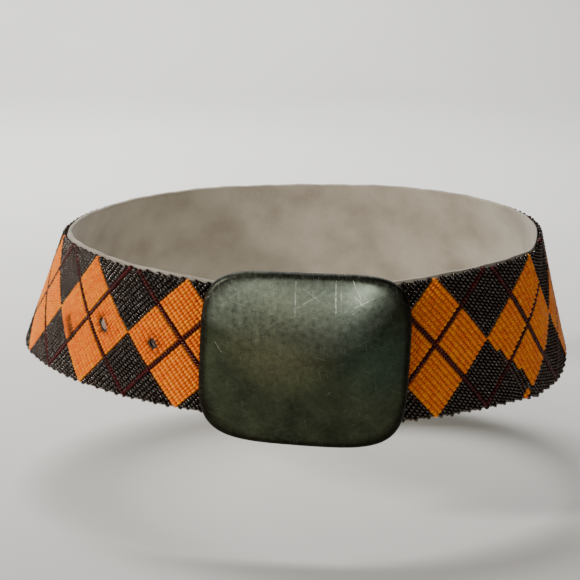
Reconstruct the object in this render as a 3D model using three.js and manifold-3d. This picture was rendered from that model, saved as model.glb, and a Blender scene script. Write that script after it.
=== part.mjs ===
// Wide beaded waist belt with a domed metal plate buckle, fastened, in millimetres with +Z up.
// The origin is the centre of the waist, level with the middle of the band at the front,
// and the buckle faces -Y. A bearing is measured round the waist from the front, + towards +X.
import * as THREE from "three";
import { mergeVertices } from "three/addons/utils/BufferGeometryUtils.js";
import Module from "manifold-3d";

const wasm = await Module();
wasm.setup();

// The loop that the worn band makes round the waist.
const waistHalfWidth = 118;
const frontDip = 10;
const flareAngle = 22;

// The band: a beaded face sewn on a soft leather backing that stands a little above it.
const bandWidth = 62;
const beadThickness = 2.0;
const backingThickness = 1.4;
const backingRise = 1.8;
const layerGap = 0.3;
const bandStep = 5;

// The free end and its holes, set out from the hole that the peg is in.
const pegBearing = -2.5;
const tipBeyondPeg = 14;
const tipCornerRadius = 6;
const holeSpacing = 27.3;
const beadHoleWidth = 2.6;
const beadHoleHeight = 7.2;
const pegHoleClearance = 0.6;

// The buckle plate: a domed shell with an edge turned back all round.
const plateWidth = 84;
const plateHeight = 70.5;
const plateCentreX = 4.3;
const plateCentreZ = -0.4;
const plateTilt = -3.0;
const plateTaper = 0.016;
const plateSquareness = 4.6;
const plateDome = 6.5;
const domePower = 2.3;
const plateBow = 5;
const plateEdgeDepth = 4.5;
const plateEdgeRadius = 1.6;
const plateWall = 1.5;
const plateClearance = 0.5;

// The soldered fastening behind the plate: a bar for the fixed end and a peg for the free end.
const barBearing = 12;
const barDiameter = 3;
const barClearance = 0.5;
const barCornerRadius = 4;
const barEndClearance = 1.5;
const tabWidth = 42;
const tabTurnBack = 18;
const pegDiameter = 3;
const pegReach = 1.8;

// The waist table. Reach is a share of waistHalfWidth, rise a share of frontDip,
// lean a share of flareAngle and width a share of bandWidth.
const waist = [
  { bearing: -180, reach: 0.830, rise: 1.00, lean: 0.92, width: 0.930 },
  { bearing: -140, reach: 0.890, rise: 0.98, lean: 0.97, width: 0.920 },
  { bearing: -110, reach: 0.955, rise: 0.86, lean: 1.00, width: 0.900 },
  { bearing: -85, reach: 0.988, rise: 0.74, lean: 0.95, width: 0.890 },
  { bearing: -60, reach: 0.978, rise: 0.70, lean: 0.64, width: 0.885 },
  { bearing: -35, reach: 0.968, rise: 0.49, lean: 0.25, width: 0.880 },
  { bearing: -10, reach: 0.925, rise: 0.06, lean: 0.06, width: 0.875 },
  { bearing: 15, reach: 0.942, rise: -0.04, lean: 0.05, width: 0.920 },
  { bearing: 40, reach: 0.976, rise: 0.10, lean: -0.02, width: 0.985 },
  { bearing: 52, reach: 1.002, rise: 0.16, lean: 0.02, width: 1.010 },
  { bearing: 60, reach: 1.014, rise: 0.16, lean: 0.12, width: 1.040 },
  { bearing: 70, reach: 1.006, rise: 0.34, lean: 0.36, width: 1.070 },
  { bearing: 85, reach: 0.990, rise: 0.66, lean: 0.66, width: 1.010 },
  { bearing: 110, reach: 0.950, rise: 0.91, lean: 0.86, width: 0.960 },
  { bearing: 140, reach: 0.886, rise: 1.03, lean: 0.92, width: 0.950 },
];

// The holes in the free end. Place counts them on from the peg's own and drop is a share of
// bandWidth below its middle. Width and height shape the opening in the beads, tilt turns it,
// and slit is the share of that width that is cut through the backing too.
const wornHoles = [
  { place: 1, drop: 0.02, width: 1.2, height: 0.6, tilt: 0, slit: 0.5 },
  { place: 2, drop: 0.04, width: 1.6, height: 0.65, tilt: 0, slit: 0.5 },
  { place: 3, drop: 0.02, width: 1.0, height: 1.05, tilt: -12, slit: 0.4 },
  { place: 4, drop: 0.1, width: 0.6, height: 1.25, tilt: 3, slit: 0.6 },
];

const radians = THREE.MathUtils.degToRad;

// Value of one column of the waist table at a bearing: a smooth curve that closes on itself.
function waistValue(bearing, column) {
  const turn = 360;
  const count = waist.length;
  const at = (row) => waist[((row % count) + count) % count].bearing + turn * Math.floor(row / count);
  const value = (row) => waist[((row % count) + count) % count][column];
  const angle = bearing - turn * Math.floor((bearing - waist[0].bearing) / turn);
  let row = 0;
  while (at(row + 1) <= angle) row += 1;
  const slope = (i) => (value(i + 1) - value(i)) / (at(i + 1) - at(i));
  const bend = (i) => {
    const before = at(i) - at(i - 1);
    const after = at(i + 1) - at(i);
    return (after * slope(i - 1) + before * slope(i)) / (before + after);
  };
  const span = at(row + 1) - at(row);
  const t = (angle - at(row)) / span;
  const rest = 1 - t;
  const ends = value(row) * rest * rest * (1 + 2 * t) + value(row + 1) * t * t * (3 - 2 * t);
  const slopes = bend(row) * t * rest * rest - bend(row + 1) * t * t * rest;
  return ends + span * slopes;
}

// Middle of the bead face at a bearing.
function faceCentre(bearing) {
  const reach = waistHalfWidth * waistValue(bearing, "reach");
  const rise = frontDip * waistValue(bearing, "rise");
  const angle = radians(bearing);
  return new THREE.Vector3(reach * Math.sin(angle), -reach * Math.cos(angle), rise);
}

// The band's own directions at a bearing: along it, up its width, and out of its bead face.
function faceFrame(bearing) {
  const small = 0.25;
  const along = faceCentre(bearing + small).sub(faceCentre(bearing - small)).normalize();
  const level = new THREE.Vector3(along.y, -along.x, 0).normalize();
  const upright = new THREE.Vector3().crossVectors(level, along).normalize();
  if (upright.z < 0) upright.negate();
  const lean = radians(flareAngle * waistValue(bearing, "lean"));
  const up = upright.clone().multiplyScalar(Math.cos(lean)).addScaledVector(level, -Math.sin(lean));
  const out = level.clone().multiplyScalar(Math.cos(lean)).addScaledVector(upright, Math.sin(lean));
  return { centre: faceCentre(bearing), along, up, out };
}

// Length along the band from the front, found once in small steps, so that places can be
// given as lengths.
const lengthTable = [{ bearing: -180, length: 0 }];
for (let bearing = -179.5; bearing <= 180; bearing += 0.5) {
  const last = lengthTable[lengthTable.length - 1];
  const step = faceCentre(bearing).distanceTo(faceCentre(last.bearing));
  lengthTable.push({ bearing, length: last.length + step });
}
const loopLength = lengthTable[lengthTable.length - 1].length;

function lookUp(value, from, to) {
  let row = 0;
  while (row < lengthTable.length - 2 && lengthTable[row + 1][from] < value) row += 1;
  const a = lengthTable[row];
  const b = lengthTable[row + 1];
  return a[to] + ((b[to] - a[to]) * (value - a[from])) / (b[from] - a[from]);
}

const frontLength = lookUp(0, "bearing", "length");
const lengthAt = (bearing) => lookUp(bearing, "bearing", "length") - frontLength;

// Bearing at a length from the front, + towards +X, on any turn round the waist.
function bearingAt(length) {
  const placed = length + frontLength;
  const turns = Math.floor(placed / loopLength);
  return lookUp(placed - turns * loopLength, "length", "bearing");
}

const barAlong = lengthAt(barBearing);
const pegAlong = lengthAt(pegBearing);
const tipAlong = pegAlong + tipBeyondPeg;

// Depths below the bead face.
const beadMiddle = beadThickness / 2;
const backingMiddle = beadThickness + layerGap + backingThickness / 2;
const backingInside = beadThickness + layerGap + backingThickness;
const barDepth = backingInside + barClearance + barDiameter / 2;
const turnRadius = barDepth - backingMiddle;

// How much of the half width is left near the rounded corners of the free end.
function tipShare(toTip, half) {
  if (toTip >= tipCornerRadius) return half;
  const in_ = tipCornerRadius - Math.max(toTip, 0);
  return half - tipCornerRadius + Math.sqrt(tipCornerRadius ** 2 - in_ ** 2);
}

function smooth(value, from, to) {
  const t = THREE.MathUtils.clamp((value - from) / (to - from), 0, 1);
  return t * t * (3 - 2 * t);
}

// One station of a layer: its middle point, up direction, and reach above and below.
function station(along, depth, above, below) {
  const bearing = bearingAt(along);
  const { centre, up, out } = faceFrame(bearing);
  const half = (bandWidth * waistValue(bearing, "width")) / 2;
  const toTip = tipAlong + loopLength - along;
  const low = tipShare(toTip, half + below);
  const high = tipShare(toTip, half + above);
  return { point: centre.addScaledVector(out, -depth), up, low, high };
}

// Closed wall of a constant thickness whose middle runs through the stations. Each station
// gives a ring of corners: up its outer face and down its inner face. Both faces of a twisted
// stretch are split along the same diagonals, so that two such walls nest.
function wallThrough(stations, thickness) {
  const rows = 3;
  const ring = 2 * (rows + 1);
  const positions = [];
  stations.forEach((here, i) => {
    const before = stations[Math.max(i - 1, 0)].point;
    const after = stations[Math.min(i + 1, stations.length - 1)].point;
    const run = after.clone().sub(before);
    const face = new THREE.Vector3().crossVectors(run, here.up).normalize();
    for (let k = 0; k < ring; k += 1) {
      const isOuter = k <= rows;
      const row = isOuter ? k : ring - 1 - k;
      const reach = THREE.MathUtils.lerp(-here.low, here.high, row / rows);
      const corner = here.point.clone().addScaledVector(here.up, reach);
      corner.addScaledVector(face, ((isOuter ? 1 : -1) * thickness) / 2);
      positions.push(corner.x, corner.y, corner.z);
    }
  });
  const faces = [];
  for (let i = 0; i + 1 < stations.length; i += 1) {
    for (let k = 0; k < ring; k += 1) {
      const a = ring * i + k;
      const b = ring * i + ((k + 1) % ring);
      if (k <= rows) faces.push(a, a + ring, b, b, a + ring, b + ring);
      else faces.push(a, a + ring, b + ring, a, b + ring, b);
    }
  }
  const end = ring * (stations.length - 1);
  for (let k = 1; k < rows + 1; k += 1) {
    const mate = ring - 1 - k;
    faces.push(k - 1, k, mate + 1, k, mate, mate + 1);
    faces.push(end + k - 1, end + mate + 1, end + k, end + k, end + mate + 1, end + mate);
  }
  const geometry = new THREE.BufferGeometry();
  geometry.setAttribute("position", new THREE.Float32BufferAttribute(positions, 3));
  geometry.setIndex(faces);
  return geometry;
}

// Lengths from one place to another in even steps, with the rounded tip in finer ones.
function placesAlong(from, to) {
  const places = [];
  const steps = Math.ceil((to - tipCornerRadius - from) / bandStep);
  for (let i = 0; i <= steps; i += 1) {
    places.push(THREE.MathUtils.lerp(from, to - tipCornerRadius, i / steps));
  }
  const tipSteps = 4;
  for (let i = 1; i <= tipSteps; i += 1) {
    const angle = (i / tipSteps) * (Math.PI / 2);
    places.push(to - tipCornerRadius + tipCornerRadius * Math.sin(angle));
  }
  return places;
}

// Booleans between closed geometries.
function toSolid(geometry) {
  const bare = geometry.clone();
  bare.deleteAttribute("normal");
  bare.deleteAttribute("uv");
  const merged = mergeVertices(bare, 1e-4);
  const vertProperties = new Float32Array(merged.attributes.position.array);
  const triVerts = new Uint32Array(merged.index.array);
  return new wasm.Manifold(new wasm.Mesh({ numProp: 3, vertProperties, triVerts }));
}

function toGeometry(solid) {
  const mesh = solid.getMesh();
  const geometry = new THREE.BufferGeometry();
  const position = new THREE.BufferAttribute(new Float32Array(mesh.vertProperties), 3);
  geometry.setAttribute("position", position);
  geometry.setIndex(new THREE.BufferAttribute(new Uint32Array(mesh.triVerts), 1));
  geometry.computeVertexNormals();
  return geometry;
}

// Cutter for a hole with round ends, standing through every layer at a place on the band.
function holeCutter(along, drop, width, height, tilt) {
  const { centre, up, out } = faceFrame(bearingAt(along));
  const middle = Math.max((height - width) / 2, 0.001);
  const outline = new THREE.Shape();
  outline.absarc(0, middle, width / 2, 0, Math.PI);
  outline.absarc(0, -middle, width / 2, Math.PI, 2 * Math.PI);
  const depth = 6 * backingInside;
  const cutter = new THREE.ExtrudeGeometry(outline, { depth, bevelEnabled: false, curveSegments: 6 });
  cutter.translate(0, 0, -depth / 2);
  cutter.rotateZ(radians(tilt));
  const right = new THREE.Vector3().crossVectors(up, out);
  const place = new THREE.Matrix4().makeBasis(right, up, out);
  place.setPosition(centre.addScaledVector(up, -drop));
  cutter.applyMatrix4(place);
  return toSolid(cutter);
}

function cutHoles(geometry, widthShare) {
  let solid = toSolid(geometry);
  for (const hole of wornHoles) {
    const along = pegAlong - holeSpacing * hole.place;
    const width = beadHoleWidth * hole.width * widthShare(hole);
    const height = beadHoleHeight * hole.height;
    solid = solid.subtract(holeCutter(along, bandWidth * hole.drop, width, height, hole.tilt));
  }
  const pegHole = pegDiameter + 2 * pegHoleClearance;
  solid = solid.subtract(holeCutter(pegAlong, 0, pegHole, pegHole, 0));
  return toGeometry(solid);
}

// The beaded face: it starts beside the bar, runs round the back and ends at the free end.
function beadBandGeometry() {
  const start = barAlong + barDiameter + 2 * barClearance;
  const stations = placesAlong(start, tipAlong + loopLength).map((along) => {
    const cover = smooth(along, start, start + 2 * bandStep);
    const inset = ((1 - cover) * (bandWidth - tabWidth)) / 2;
    return station(along, beadMiddle, -inset, -inset);
  });
  return cutHoles(wallThrough(stations, beadThickness), () => 1);
}

// The backing: like the beaded face, but its fixed end narrows to a tab that turns
// round the bar and lies back against itself.
function backingGeometry() {
  const stations = [];
  const bar = faceFrame(bearingAt(barAlong));
  const tabHalf = tabWidth / 2;
  const turnBackSteps = 6;
  for (let i = turnBackSteps; i >= 1; i -= 1) {
    const out = (tabTurnBack * i) / turnBackSteps;
    const close = smooth(out, 0, tabTurnBack * 0.7);
    const open = barDepth + turnRadius;
    const shut = backingInside + layerGap + backingThickness / 2;
    const depth = THREE.MathUtils.lerp(open, shut, close);
    const place = faceFrame(bearingAt(barAlong + out));
    const point = place.centre.addScaledVector(place.out, -depth);
    stations.push({ point, up: place.up, low: tabHalf, high: tabHalf });
  }
  const turnSteps = 8;
  for (let i = turnSteps; i >= 0; i -= 1) {
    const angle = (Math.PI * i) / turnSteps;
    const point = bar.centre.clone().addScaledVector(bar.out, turnRadius * Math.cos(angle) - barDepth);
    point.addScaledVector(bar.along, -turnRadius * Math.sin(angle));
    stations.push({ point, up: bar.up, low: tabHalf, high: tabHalf });
  }
  const start = barAlong + barDiameter;
  for (const along of placesAlong(start, tipAlong + loopLength)) {
    const cover = smooth(along, start, start + 2 * bandStep);
    const inset = ((1 - cover) * (bandWidth - tabWidth)) / 2;
    stations.push(station(along, backingMiddle, backingRise * cover - inset, -inset));
  }
  return cutHoles(wallThrough(stations, backingThickness), (hole) => hole.slit);
}

// The plate's back edge stands just clear of the band across its whole width.
function edgeLine(x) {
  return plateBow * ((x - plateCentreX) / (plateWidth / 2)) ** 2;
}

function plateSeat() {
  let seat = 0;
  const samples = 40;
  for (let i = 0; i <= samples; i += 1) {
    const x = plateCentreX + plateWidth * (i / samples - 0.5);
    const bearing = bearingAt(x);
    const { centre, up } = faceFrame(bearing);
    const half = (bandWidth * waistValue(bearing, "width")) / 2;
    for (const side of [-1, 1]) {
      const edge = centre.clone().addScaledVector(up, side * half);
      seat = Math.max(seat, -edge.y + edgeLine(edge.x));
    }
  }
  return seat + plateClearance;
}

const seatY = plateSeat();

// The plate grows a little taller towards its right side.
function taperAt(across) {
  return 1 + (plateTaper * across) / (plateWidth / 2);
}

// Point of the plate: across and high from its centre, and lift out from its back edge.
function platePoint(across, flatHigh, lift) {
  const tilt = radians(plateTilt);
  const high = flatHigh * taperAt(across);
  const x = plateCentreX + across * Math.cos(tilt) - high * Math.sin(tilt);
  const z = plateCentreZ + across * Math.sin(tilt) + high * Math.cos(tilt);
  return new THREE.Vector3(x, edgeLine(x) - seatY - lift, z);
}

function domeLift(share) {
  return plateEdgeDepth + plateDome * (1 - share ** domePower);
}

// Underside of the plate, as a Y, behind a place that is given by X and Z.
function undersideY(x, z) {
  const tilt = radians(plateTilt);
  const dx = x - plateCentreX;
  const dz = z - plateCentreZ;
  const across = dx * Math.cos(tilt) + dz * Math.sin(tilt);
  const high = -dx * Math.sin(tilt) + dz * Math.cos(tilt);
  const u = Math.abs(across / (plateWidth / 2 - plateEdgeRadius));
  const v = Math.abs(high / taperAt(across) / (plateHeight / 2 - plateEdgeRadius));
  const share = (u ** plateSquareness + v ** plateSquareness) ** (1 / plateSquareness);
  return edgeLine(x) - seatY - domeLift(Math.min(share, 1)) + plateWall;
}

// Shell through rings of a rounded oblong. Each ring has a share of the full size,
// an inset from it and a lift; the first and the last ring close to a point.
function plateShell() {
  const domeShares = [0.16, 0.34, 0.5, 0.64, 0.76, 0.86, 0.94, 1];
  const rings = [];
  for (const share of domeShares) {
    rings.push({ share, inset: plateEdgeRadius * share, lift: domeLift(share) });
  }
  for (const angle of [30, 60, 90]) {
    const round = radians(angle);
    const inset = plateEdgeRadius * (1 - Math.sin(round));
    const lift = plateEdgeDepth - plateEdgeRadius * (1 - Math.cos(round));
    rings.push({ share: 1, inset, lift });
  }
  rings.push({ share: 1, inset: 0, lift: 0 });
  rings.push({ share: 1, inset: plateWall, lift: 0 });
  rings.push({ share: 1, inset: plateWall, lift: plateEdgeDepth - plateEdgeRadius });
  for (const share of [...domeShares].reverse()) {
    const inset = (plateEdgeRadius + plateWall / 2) * share;
    rings.push({ share, inset, lift: domeLift(share) - plateWall });
  }
  const around = 52;
  const positions = [];
  const push = (point) => positions.push(point.x, point.y, point.z);
  for (const { share, inset, lift } of rings) {
    const halfWidth = (plateWidth / 2) * share - inset;
    const halfHeight = (plateHeight / 2) * share - inset;
    for (let i = 0; i < around; i += 1) {
      const angle = (2 * Math.PI * i) / around;
      const c = Math.cos(angle);
      const s = Math.sin(angle);
      const across = halfWidth * Math.sign(c) * Math.abs(c) ** (2 / plateSquareness);
      const high = halfHeight * Math.sign(s) * Math.abs(s) ** (2 / plateSquareness);
      push(platePoint(across, high, lift));
    }
  }
  const top = rings.length * around;
  push(platePoint(0, 0, domeLift(0)));
  push(platePoint(0, 0, domeLift(0) - plateWall));
  const faces = [];
  for (let i = 0; i < around; i += 1) {
    const next = (i + 1) % around;
    faces.push(top, i, next);
    for (let r = 0; r + 1 < rings.length; r += 1) {
      const a = r * around;
      const b = a + around;
      faces.push(a + i, b + i, a + next, a + next, b + i, b + next);
    }
    const last = (rings.length - 1) * around;
    faces.push(last + i, top + 1, last + next);
  }
  const geometry = new THREE.BufferGeometry();
  geometry.setAttribute("position", new THREE.Float32BufferAttribute(positions, 3));
  geometry.setIndex(faces);
  return geometry;
}

// Round bar on two posts, in one bent piece: its legs stand in the plate's back.
function barGeometry() {
  const bar = faceFrame(bearingAt(barAlong));
  const middle = bar.centre.clone().addScaledVector(bar.out, -barDepth);
  const reach = tabWidth / 2 + barEndClearance + barDiameter / 2;
  const corner = (side) => middle.clone().addScaledVector(bar.up, side * reach);
  const foot = (side) => {
    const start = corner(side);
    const y = undersideY(start.x, start.z) - plateWall / 2;
    return new THREE.Vector3(start.x, y, start.z);
  };
  const path = new THREE.CurvePath();
  const bend = (side) => corner(side).addScaledVector(bar.up, -side * barCornerRadius);
  const shoulder = (side) => {
    const toFoot = foot(side).sub(corner(side)).normalize();
    return corner(side).addScaledVector(toFoot, barCornerRadius);
  };
  path.add(new THREE.LineCurve3(foot(1), shoulder(1)));
  path.add(new THREE.QuadraticBezierCurve3(shoulder(1), corner(1), bend(1)));
  path.add(new THREE.LineCurve3(bend(1), bend(-1)));
  path.add(new THREE.QuadraticBezierCurve3(bend(-1), corner(-1), shoulder(-1)));
  path.add(new THREE.LineCurve3(shoulder(-1), foot(-1)));
  const section = new THREE.Shape();
  section.absarc(0, 0, barDiameter / 2, 0, 2 * Math.PI);
  const smoothPath = new THREE.CatmullRomCurve3(path.getSpacedPoints(36));
  return new THREE.ExtrudeGeometry(section, { steps: 48, extrudePath: smoothPath, curveSegments: 5 });
}

// Peg that stands in the plate's back and passes in through its hole in the band.
function pegGeometry() {
  const { centre, out } = faceFrame(bearingAt(pegAlong));
  const end = centre.clone().addScaledVector(out, -(backingInside + pegReach));
  const rootY = undersideY(centre.x, centre.z) - plateWall / 2;
  const length = Math.abs((end.y - rootY) / out.y);
  const radius = pegDiameter / 2;
  const profile = [
    new THREE.Vector2(0, 0),
    new THREE.Vector2(radius * 0.6, 0),
    new THREE.Vector2(radius, radius * 0.4),
    new THREE.Vector2(radius, length),
    new THREE.Vector2(0, length),
  ];
  const peg = new THREE.LatheGeometry(profile, 14);
  const turn = new THREE.Quaternion().setFromUnitVectors(new THREE.Vector3(0, 1, 0), out);
  peg.applyQuaternion(turn);
  peg.translate(end.x, end.y, end.z);
  return peg;
}

function buckleGeometry() {
  const shell = toSolid(plateShell());
  return toGeometry(shell.add(toSolid(barGeometry())).add(toSolid(pegGeometry())));
}

function piece(name, geometry, color, roughness, metalness) {
  const material = new THREE.MeshStandardMaterial({ color, roughness, metalness });
  const mesh = new THREE.Mesh(geometry, material);
  mesh.name = name;
  return mesh;
}

const belt = new THREE.Group();
belt.add(piece("bead_band", beadBandGeometry(), 0xd9761c, 0.35, 0));
belt.add(piece("backing", backingGeometry(), 0xb9b1a3, 0.9, 0));
belt.add(piece("buckle", buckleGeometry(), 0x55533c, 0.45, 0.9));

export default belt;
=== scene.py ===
"""Wide waist belt, fastened: seed beads on soft leather, with a domed plate buckle of aged brass.

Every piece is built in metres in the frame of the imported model: +Z is up and the buckle faces -Y.
"""
import math
from collections import namedtuple

import bmesh
import bpy
import numpy as np
from mathutils import Matrix, Vector


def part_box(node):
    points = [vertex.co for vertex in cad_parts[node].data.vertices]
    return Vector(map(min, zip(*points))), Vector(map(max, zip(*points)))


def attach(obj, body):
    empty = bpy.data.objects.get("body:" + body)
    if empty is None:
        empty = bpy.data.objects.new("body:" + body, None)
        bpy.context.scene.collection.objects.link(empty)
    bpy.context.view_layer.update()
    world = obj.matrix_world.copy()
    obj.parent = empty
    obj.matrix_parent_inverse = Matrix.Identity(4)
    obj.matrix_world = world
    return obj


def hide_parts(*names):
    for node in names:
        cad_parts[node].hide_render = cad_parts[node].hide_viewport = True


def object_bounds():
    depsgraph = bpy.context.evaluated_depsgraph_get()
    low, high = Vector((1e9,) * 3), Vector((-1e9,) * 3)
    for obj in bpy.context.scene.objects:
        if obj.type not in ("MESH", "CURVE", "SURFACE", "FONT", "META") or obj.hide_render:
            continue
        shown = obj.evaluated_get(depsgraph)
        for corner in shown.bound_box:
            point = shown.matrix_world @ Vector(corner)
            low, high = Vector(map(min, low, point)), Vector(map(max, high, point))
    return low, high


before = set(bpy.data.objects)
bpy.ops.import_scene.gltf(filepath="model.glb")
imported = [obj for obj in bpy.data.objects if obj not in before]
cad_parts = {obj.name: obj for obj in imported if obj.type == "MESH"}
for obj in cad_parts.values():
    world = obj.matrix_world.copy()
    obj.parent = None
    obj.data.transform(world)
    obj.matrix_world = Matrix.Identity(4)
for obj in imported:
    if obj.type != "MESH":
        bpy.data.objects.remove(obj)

bl_info = {
    "name": "Beaded Waist Belt",
    "version": (1, 0, 0),
    "blender": (4, 5, 0),
    "location": "3D View > Sidebar > Belt",
    "description": "Seed beads, leather backing and brass plate buckle of a worn waist belt",
    "category": "Add Mesh",
}

CAD_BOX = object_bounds()
MM = 0.001
BODY = "root"
BEAD_NODE = "bead_band"
BACKING_NODE = "backing"
BUCKLE_NODE = "buckle"
BEAD_THICKNESS = 2.0 * MM
LAYER_GAP = 0.3 * MM

# The worn loop by bearing from the front, + towards +X. Reach is a share of the waist's half
# width, rise of the front's dip, lean of the flare, and width of the band's full width.
Station = namedtuple("Station", "bearing reach rise lean width")
WAIST = [
    Station(-180, 0.830, 1.00, 0.92, 0.930),
    Station(-140, 0.890, 0.98, 0.97, 0.920),
    Station(-110, 0.955, 0.86, 1.00, 0.900),
    Station(-85, 0.988, 0.74, 0.95, 0.890),
    Station(-60, 0.978, 0.70, 0.64, 0.885),
    Station(-35, 0.968, 0.49, 0.25, 0.880),
    Station(-10, 0.925, 0.06, 0.06, 0.875),
    Station(15, 0.942, -0.04, 0.05, 0.920),
    Station(40, 0.976, 0.10, -0.02, 0.985),
    Station(52, 1.002, 0.16, 0.02, 1.010),
    Station(60, 1.014, 0.16, 0.12, 1.040),
    Station(70, 1.006, 0.34, 0.36, 1.070),
    Station(85, 0.990, 0.66, 0.66, 1.010),
    Station(110, 0.950, 0.91, 0.86, 0.960),
    Station(140, 0.886, 1.03, 0.92, 0.950),
]

# How far the leather stands above the beads, by bearing, as a share of its full rise.
LEATHER_RISE = [
    (-180, 0.9),
    (-80, 0.85),
    (-55, 0.5),
    (-35, 0.25),
    (-15, 0.15),
    (30, 0.15),
    (70, 0.2),
    (110, 0.8),
    (180, 0.9),
]

# Holes of the free end: place counts on from the peg's own, drop is the distance below the
# middle, width and height are those of the opening in the beads, tilt turns it in degrees so
# that it follows the bead rows, and slit is the share of the width that goes through the
# leather too. Stain is the radius of the dark mark on the leather at the hole, which is partly
# wear and partly painted shade that stands for the hole's dark opening. Swell is how far the
# leather was pulled out through the hole.
Hole = namedtuple("Hole", "place drop width height tilt slit stain swell")
PEG_HOLE = Hole(0, 0.0, 4.2 * MM, 4.2 * MM, 0, 1.0, 3.0 * MM, 0.0)
WORN_HOLES = [
    Hole(1, 1.1 * MM, 3.1 * MM, 4.3 * MM, 30, 0.5, 2.0 * MM, 0.0),
    Hole(2, 2.2 * MM, 2.9 * MM, 3.4 * MM, 35, 0.16, 1.3 * MM, 0.0),
    Hole(3, -0.2 * MM, 2.8 * MM, 5.8 * MM, 38, 0.12, 0.5 * MM, 1.8 * MM),
    Hole(3.87, 6.2 * MM, 1.6 * MM, 8.5 * MM, 43, 0.3, 2.5 * MM, 0.0),
]
# How far the dark mark of wear and painted shade sits to the right of its hole's middle and above it.
STAIN_AND_SHADE_SHIFT = (1.0 * MM, -0.3 * MM)
# Size of the swollen lip, as shares of its hole's width and height.
LIP_SHARES = (0.62, 0.5)
HOLE_SIDES = 20
CUTTER_DEPTH = 16 * MM

# Soft dents of the plate: place across and high from its middle, spread and depth.
Dent = namedtuple("Dent", "across high spread depth")
PLATE_DENTS = [
    Dent(-22 * MM, 12 * MM, 11 * MM, 0.30 * MM),
    Dent(6 * MM, 17 * MM, 8 * MM, 0.25 * MM),
    Dent(26 * MM, 6 * MM, 10 * MM, 0.25 * MM),
    Dent(-8 * MM, -12 * MM, 13 * MM, 0.30 * MM),
    Dent(22 * MM, -18 * MM, 9 * MM, 0.22 * MM),
    Dent(-30 * MM, -10 * MM, 8 * MM, 0.20 * MM),
]

# Scratches that stand out on the plate: where each starts, its length, the way it runs in
# degrees from level, its width and how bright it is. The table gives the lengths in millimetres.
Scratch = namedtuple("Scratch", "across high length turn width bright")
PLATE_SCRATCHES = [
    Scratch(across * MM, high * MM, length * MM, turn, width * MM, bright)
    for across, high, length, turn, width, bright in (
        (-3.4, 32.5, 13.0, -91, 0.30, 0.85),
        (12.4, 32.5, 12.0, -91, 0.34, 0.95),
        (14.6, 31.0, 9.0, -92, 0.24, 0.65),
        (10.4, 30.5, 6.0, -97, 0.20, 0.45),
        (-3.0, 22.8, 8.6, 27, 0.26, 0.80),
        (-0.4, 30.0, 8.0, -38, 0.24, 0.70),
        (3.2, 29.0, 4.4, -86, 0.18, 0.50),
        (19.0, 32.5, 9.0, -64, 0.24, 0.70),
        (19.5, 22.6, 8.0, 22, 0.24, 0.70),
        (19.6, 26.6, 6.0, -44, 0.24, 0.70),
        (-28.6, 32.0, 3.4, -62, 0.24, 0.60),
        (-35.6, 7.6, 4.8, -55, 0.20, 0.45),
        (-32.0, 25.2, 18.0, -15, 0.16, 0.45),
        (-15.0, 20.4, 20.0, -4, 0.16, 0.50),
        (12.0, 19.5, 12.5, 20, 0.16, 0.40),
        (-13.8, 15.0, 2.8, 40, 0.20, 0.40),
        (4.0, -2.4, 7.0, 5, 0.14, 0.25),
        (22.6, -2.2, 3.6, -28, 0.14, 0.22),
        (-2.2, 7.6, 3.2, -70, 0.14, 0.22),
        (7.6, -13.0, 3.4, 38, 0.14, 0.22),
    )
]


def linear(hex_colour):
    """An sRGB hex colour as linear red, green, blue and full alpha."""
    parts = [int(hex_colour[i : i + 2], 16) / 255 for i in (0, 2, 4)]
    bent = [p / 12.92 if p <= 0.04045 else ((p + 0.055) / 1.055) ** 2.4 for p in parts]
    return (*bent, 1.0)


def length_size(name, description, default):
    return bpy.props.FloatProperty(name=name, description=description, default=default, unit="LENGTH")


def angle_size(name, description, degrees):
    return bpy.props.FloatProperty(
        name=name, description=description, default=math.radians(degrees), unit="ROTATION"
    )


def colour_choice(name, description, hex_colour):
    return bpy.props.FloatVectorProperty(
        name=name,
        description=description,
        default=linear(hex_colour),
        subtype="COLOR",
        size=4,
        min=0,
        max=1,
    )


class BeltSizes(bpy.types.PropertyGroup):
    """Sizes of the band and its beads."""

    waist_half_width: length_size("Waist half width", "Half of the widest way across the loop", 118 * MM)
    front_dip: length_size("Front dip", "How far the front hangs below the back", 10 * MM)
    flare: angle_size("Flare", "Most that the band leans out at its foot", 22)
    band_width: length_size("Band width", "Widest height of the beaded face", 62 * MM)
    bead_diameter: length_size("Bead diameter", "Across one seed bead", 2.1 * MM)
    bead_length: length_size("Bead length", "Along the hole of one seed bead", 1.4 * MM)
    leather_thickness: length_size("Leather thickness", "Thickness of the backing", 1.4 * MM)
    leather_rise: length_size("Leather rise", "How far the backing stands above the beads", 1.8 * MM)
    hole_spacing: length_size("Hole spacing", "Between holes of the free end", 27.3 * MM)
    right_period: length_size("Right diamond", "Width of a diamond beside the fixed end", 52 * MM)
    left_period: length_size("Left diamond", "Width of a diamond beside the free end", 50.6 * MM)
    first_right: length_size("First right diamond", "Front to the first diamond on the fixed side", 59.3 * MM)
    first_left: length_size("First left diamond", "Front to the first diamond on the free side", 46.5 * MM)


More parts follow.
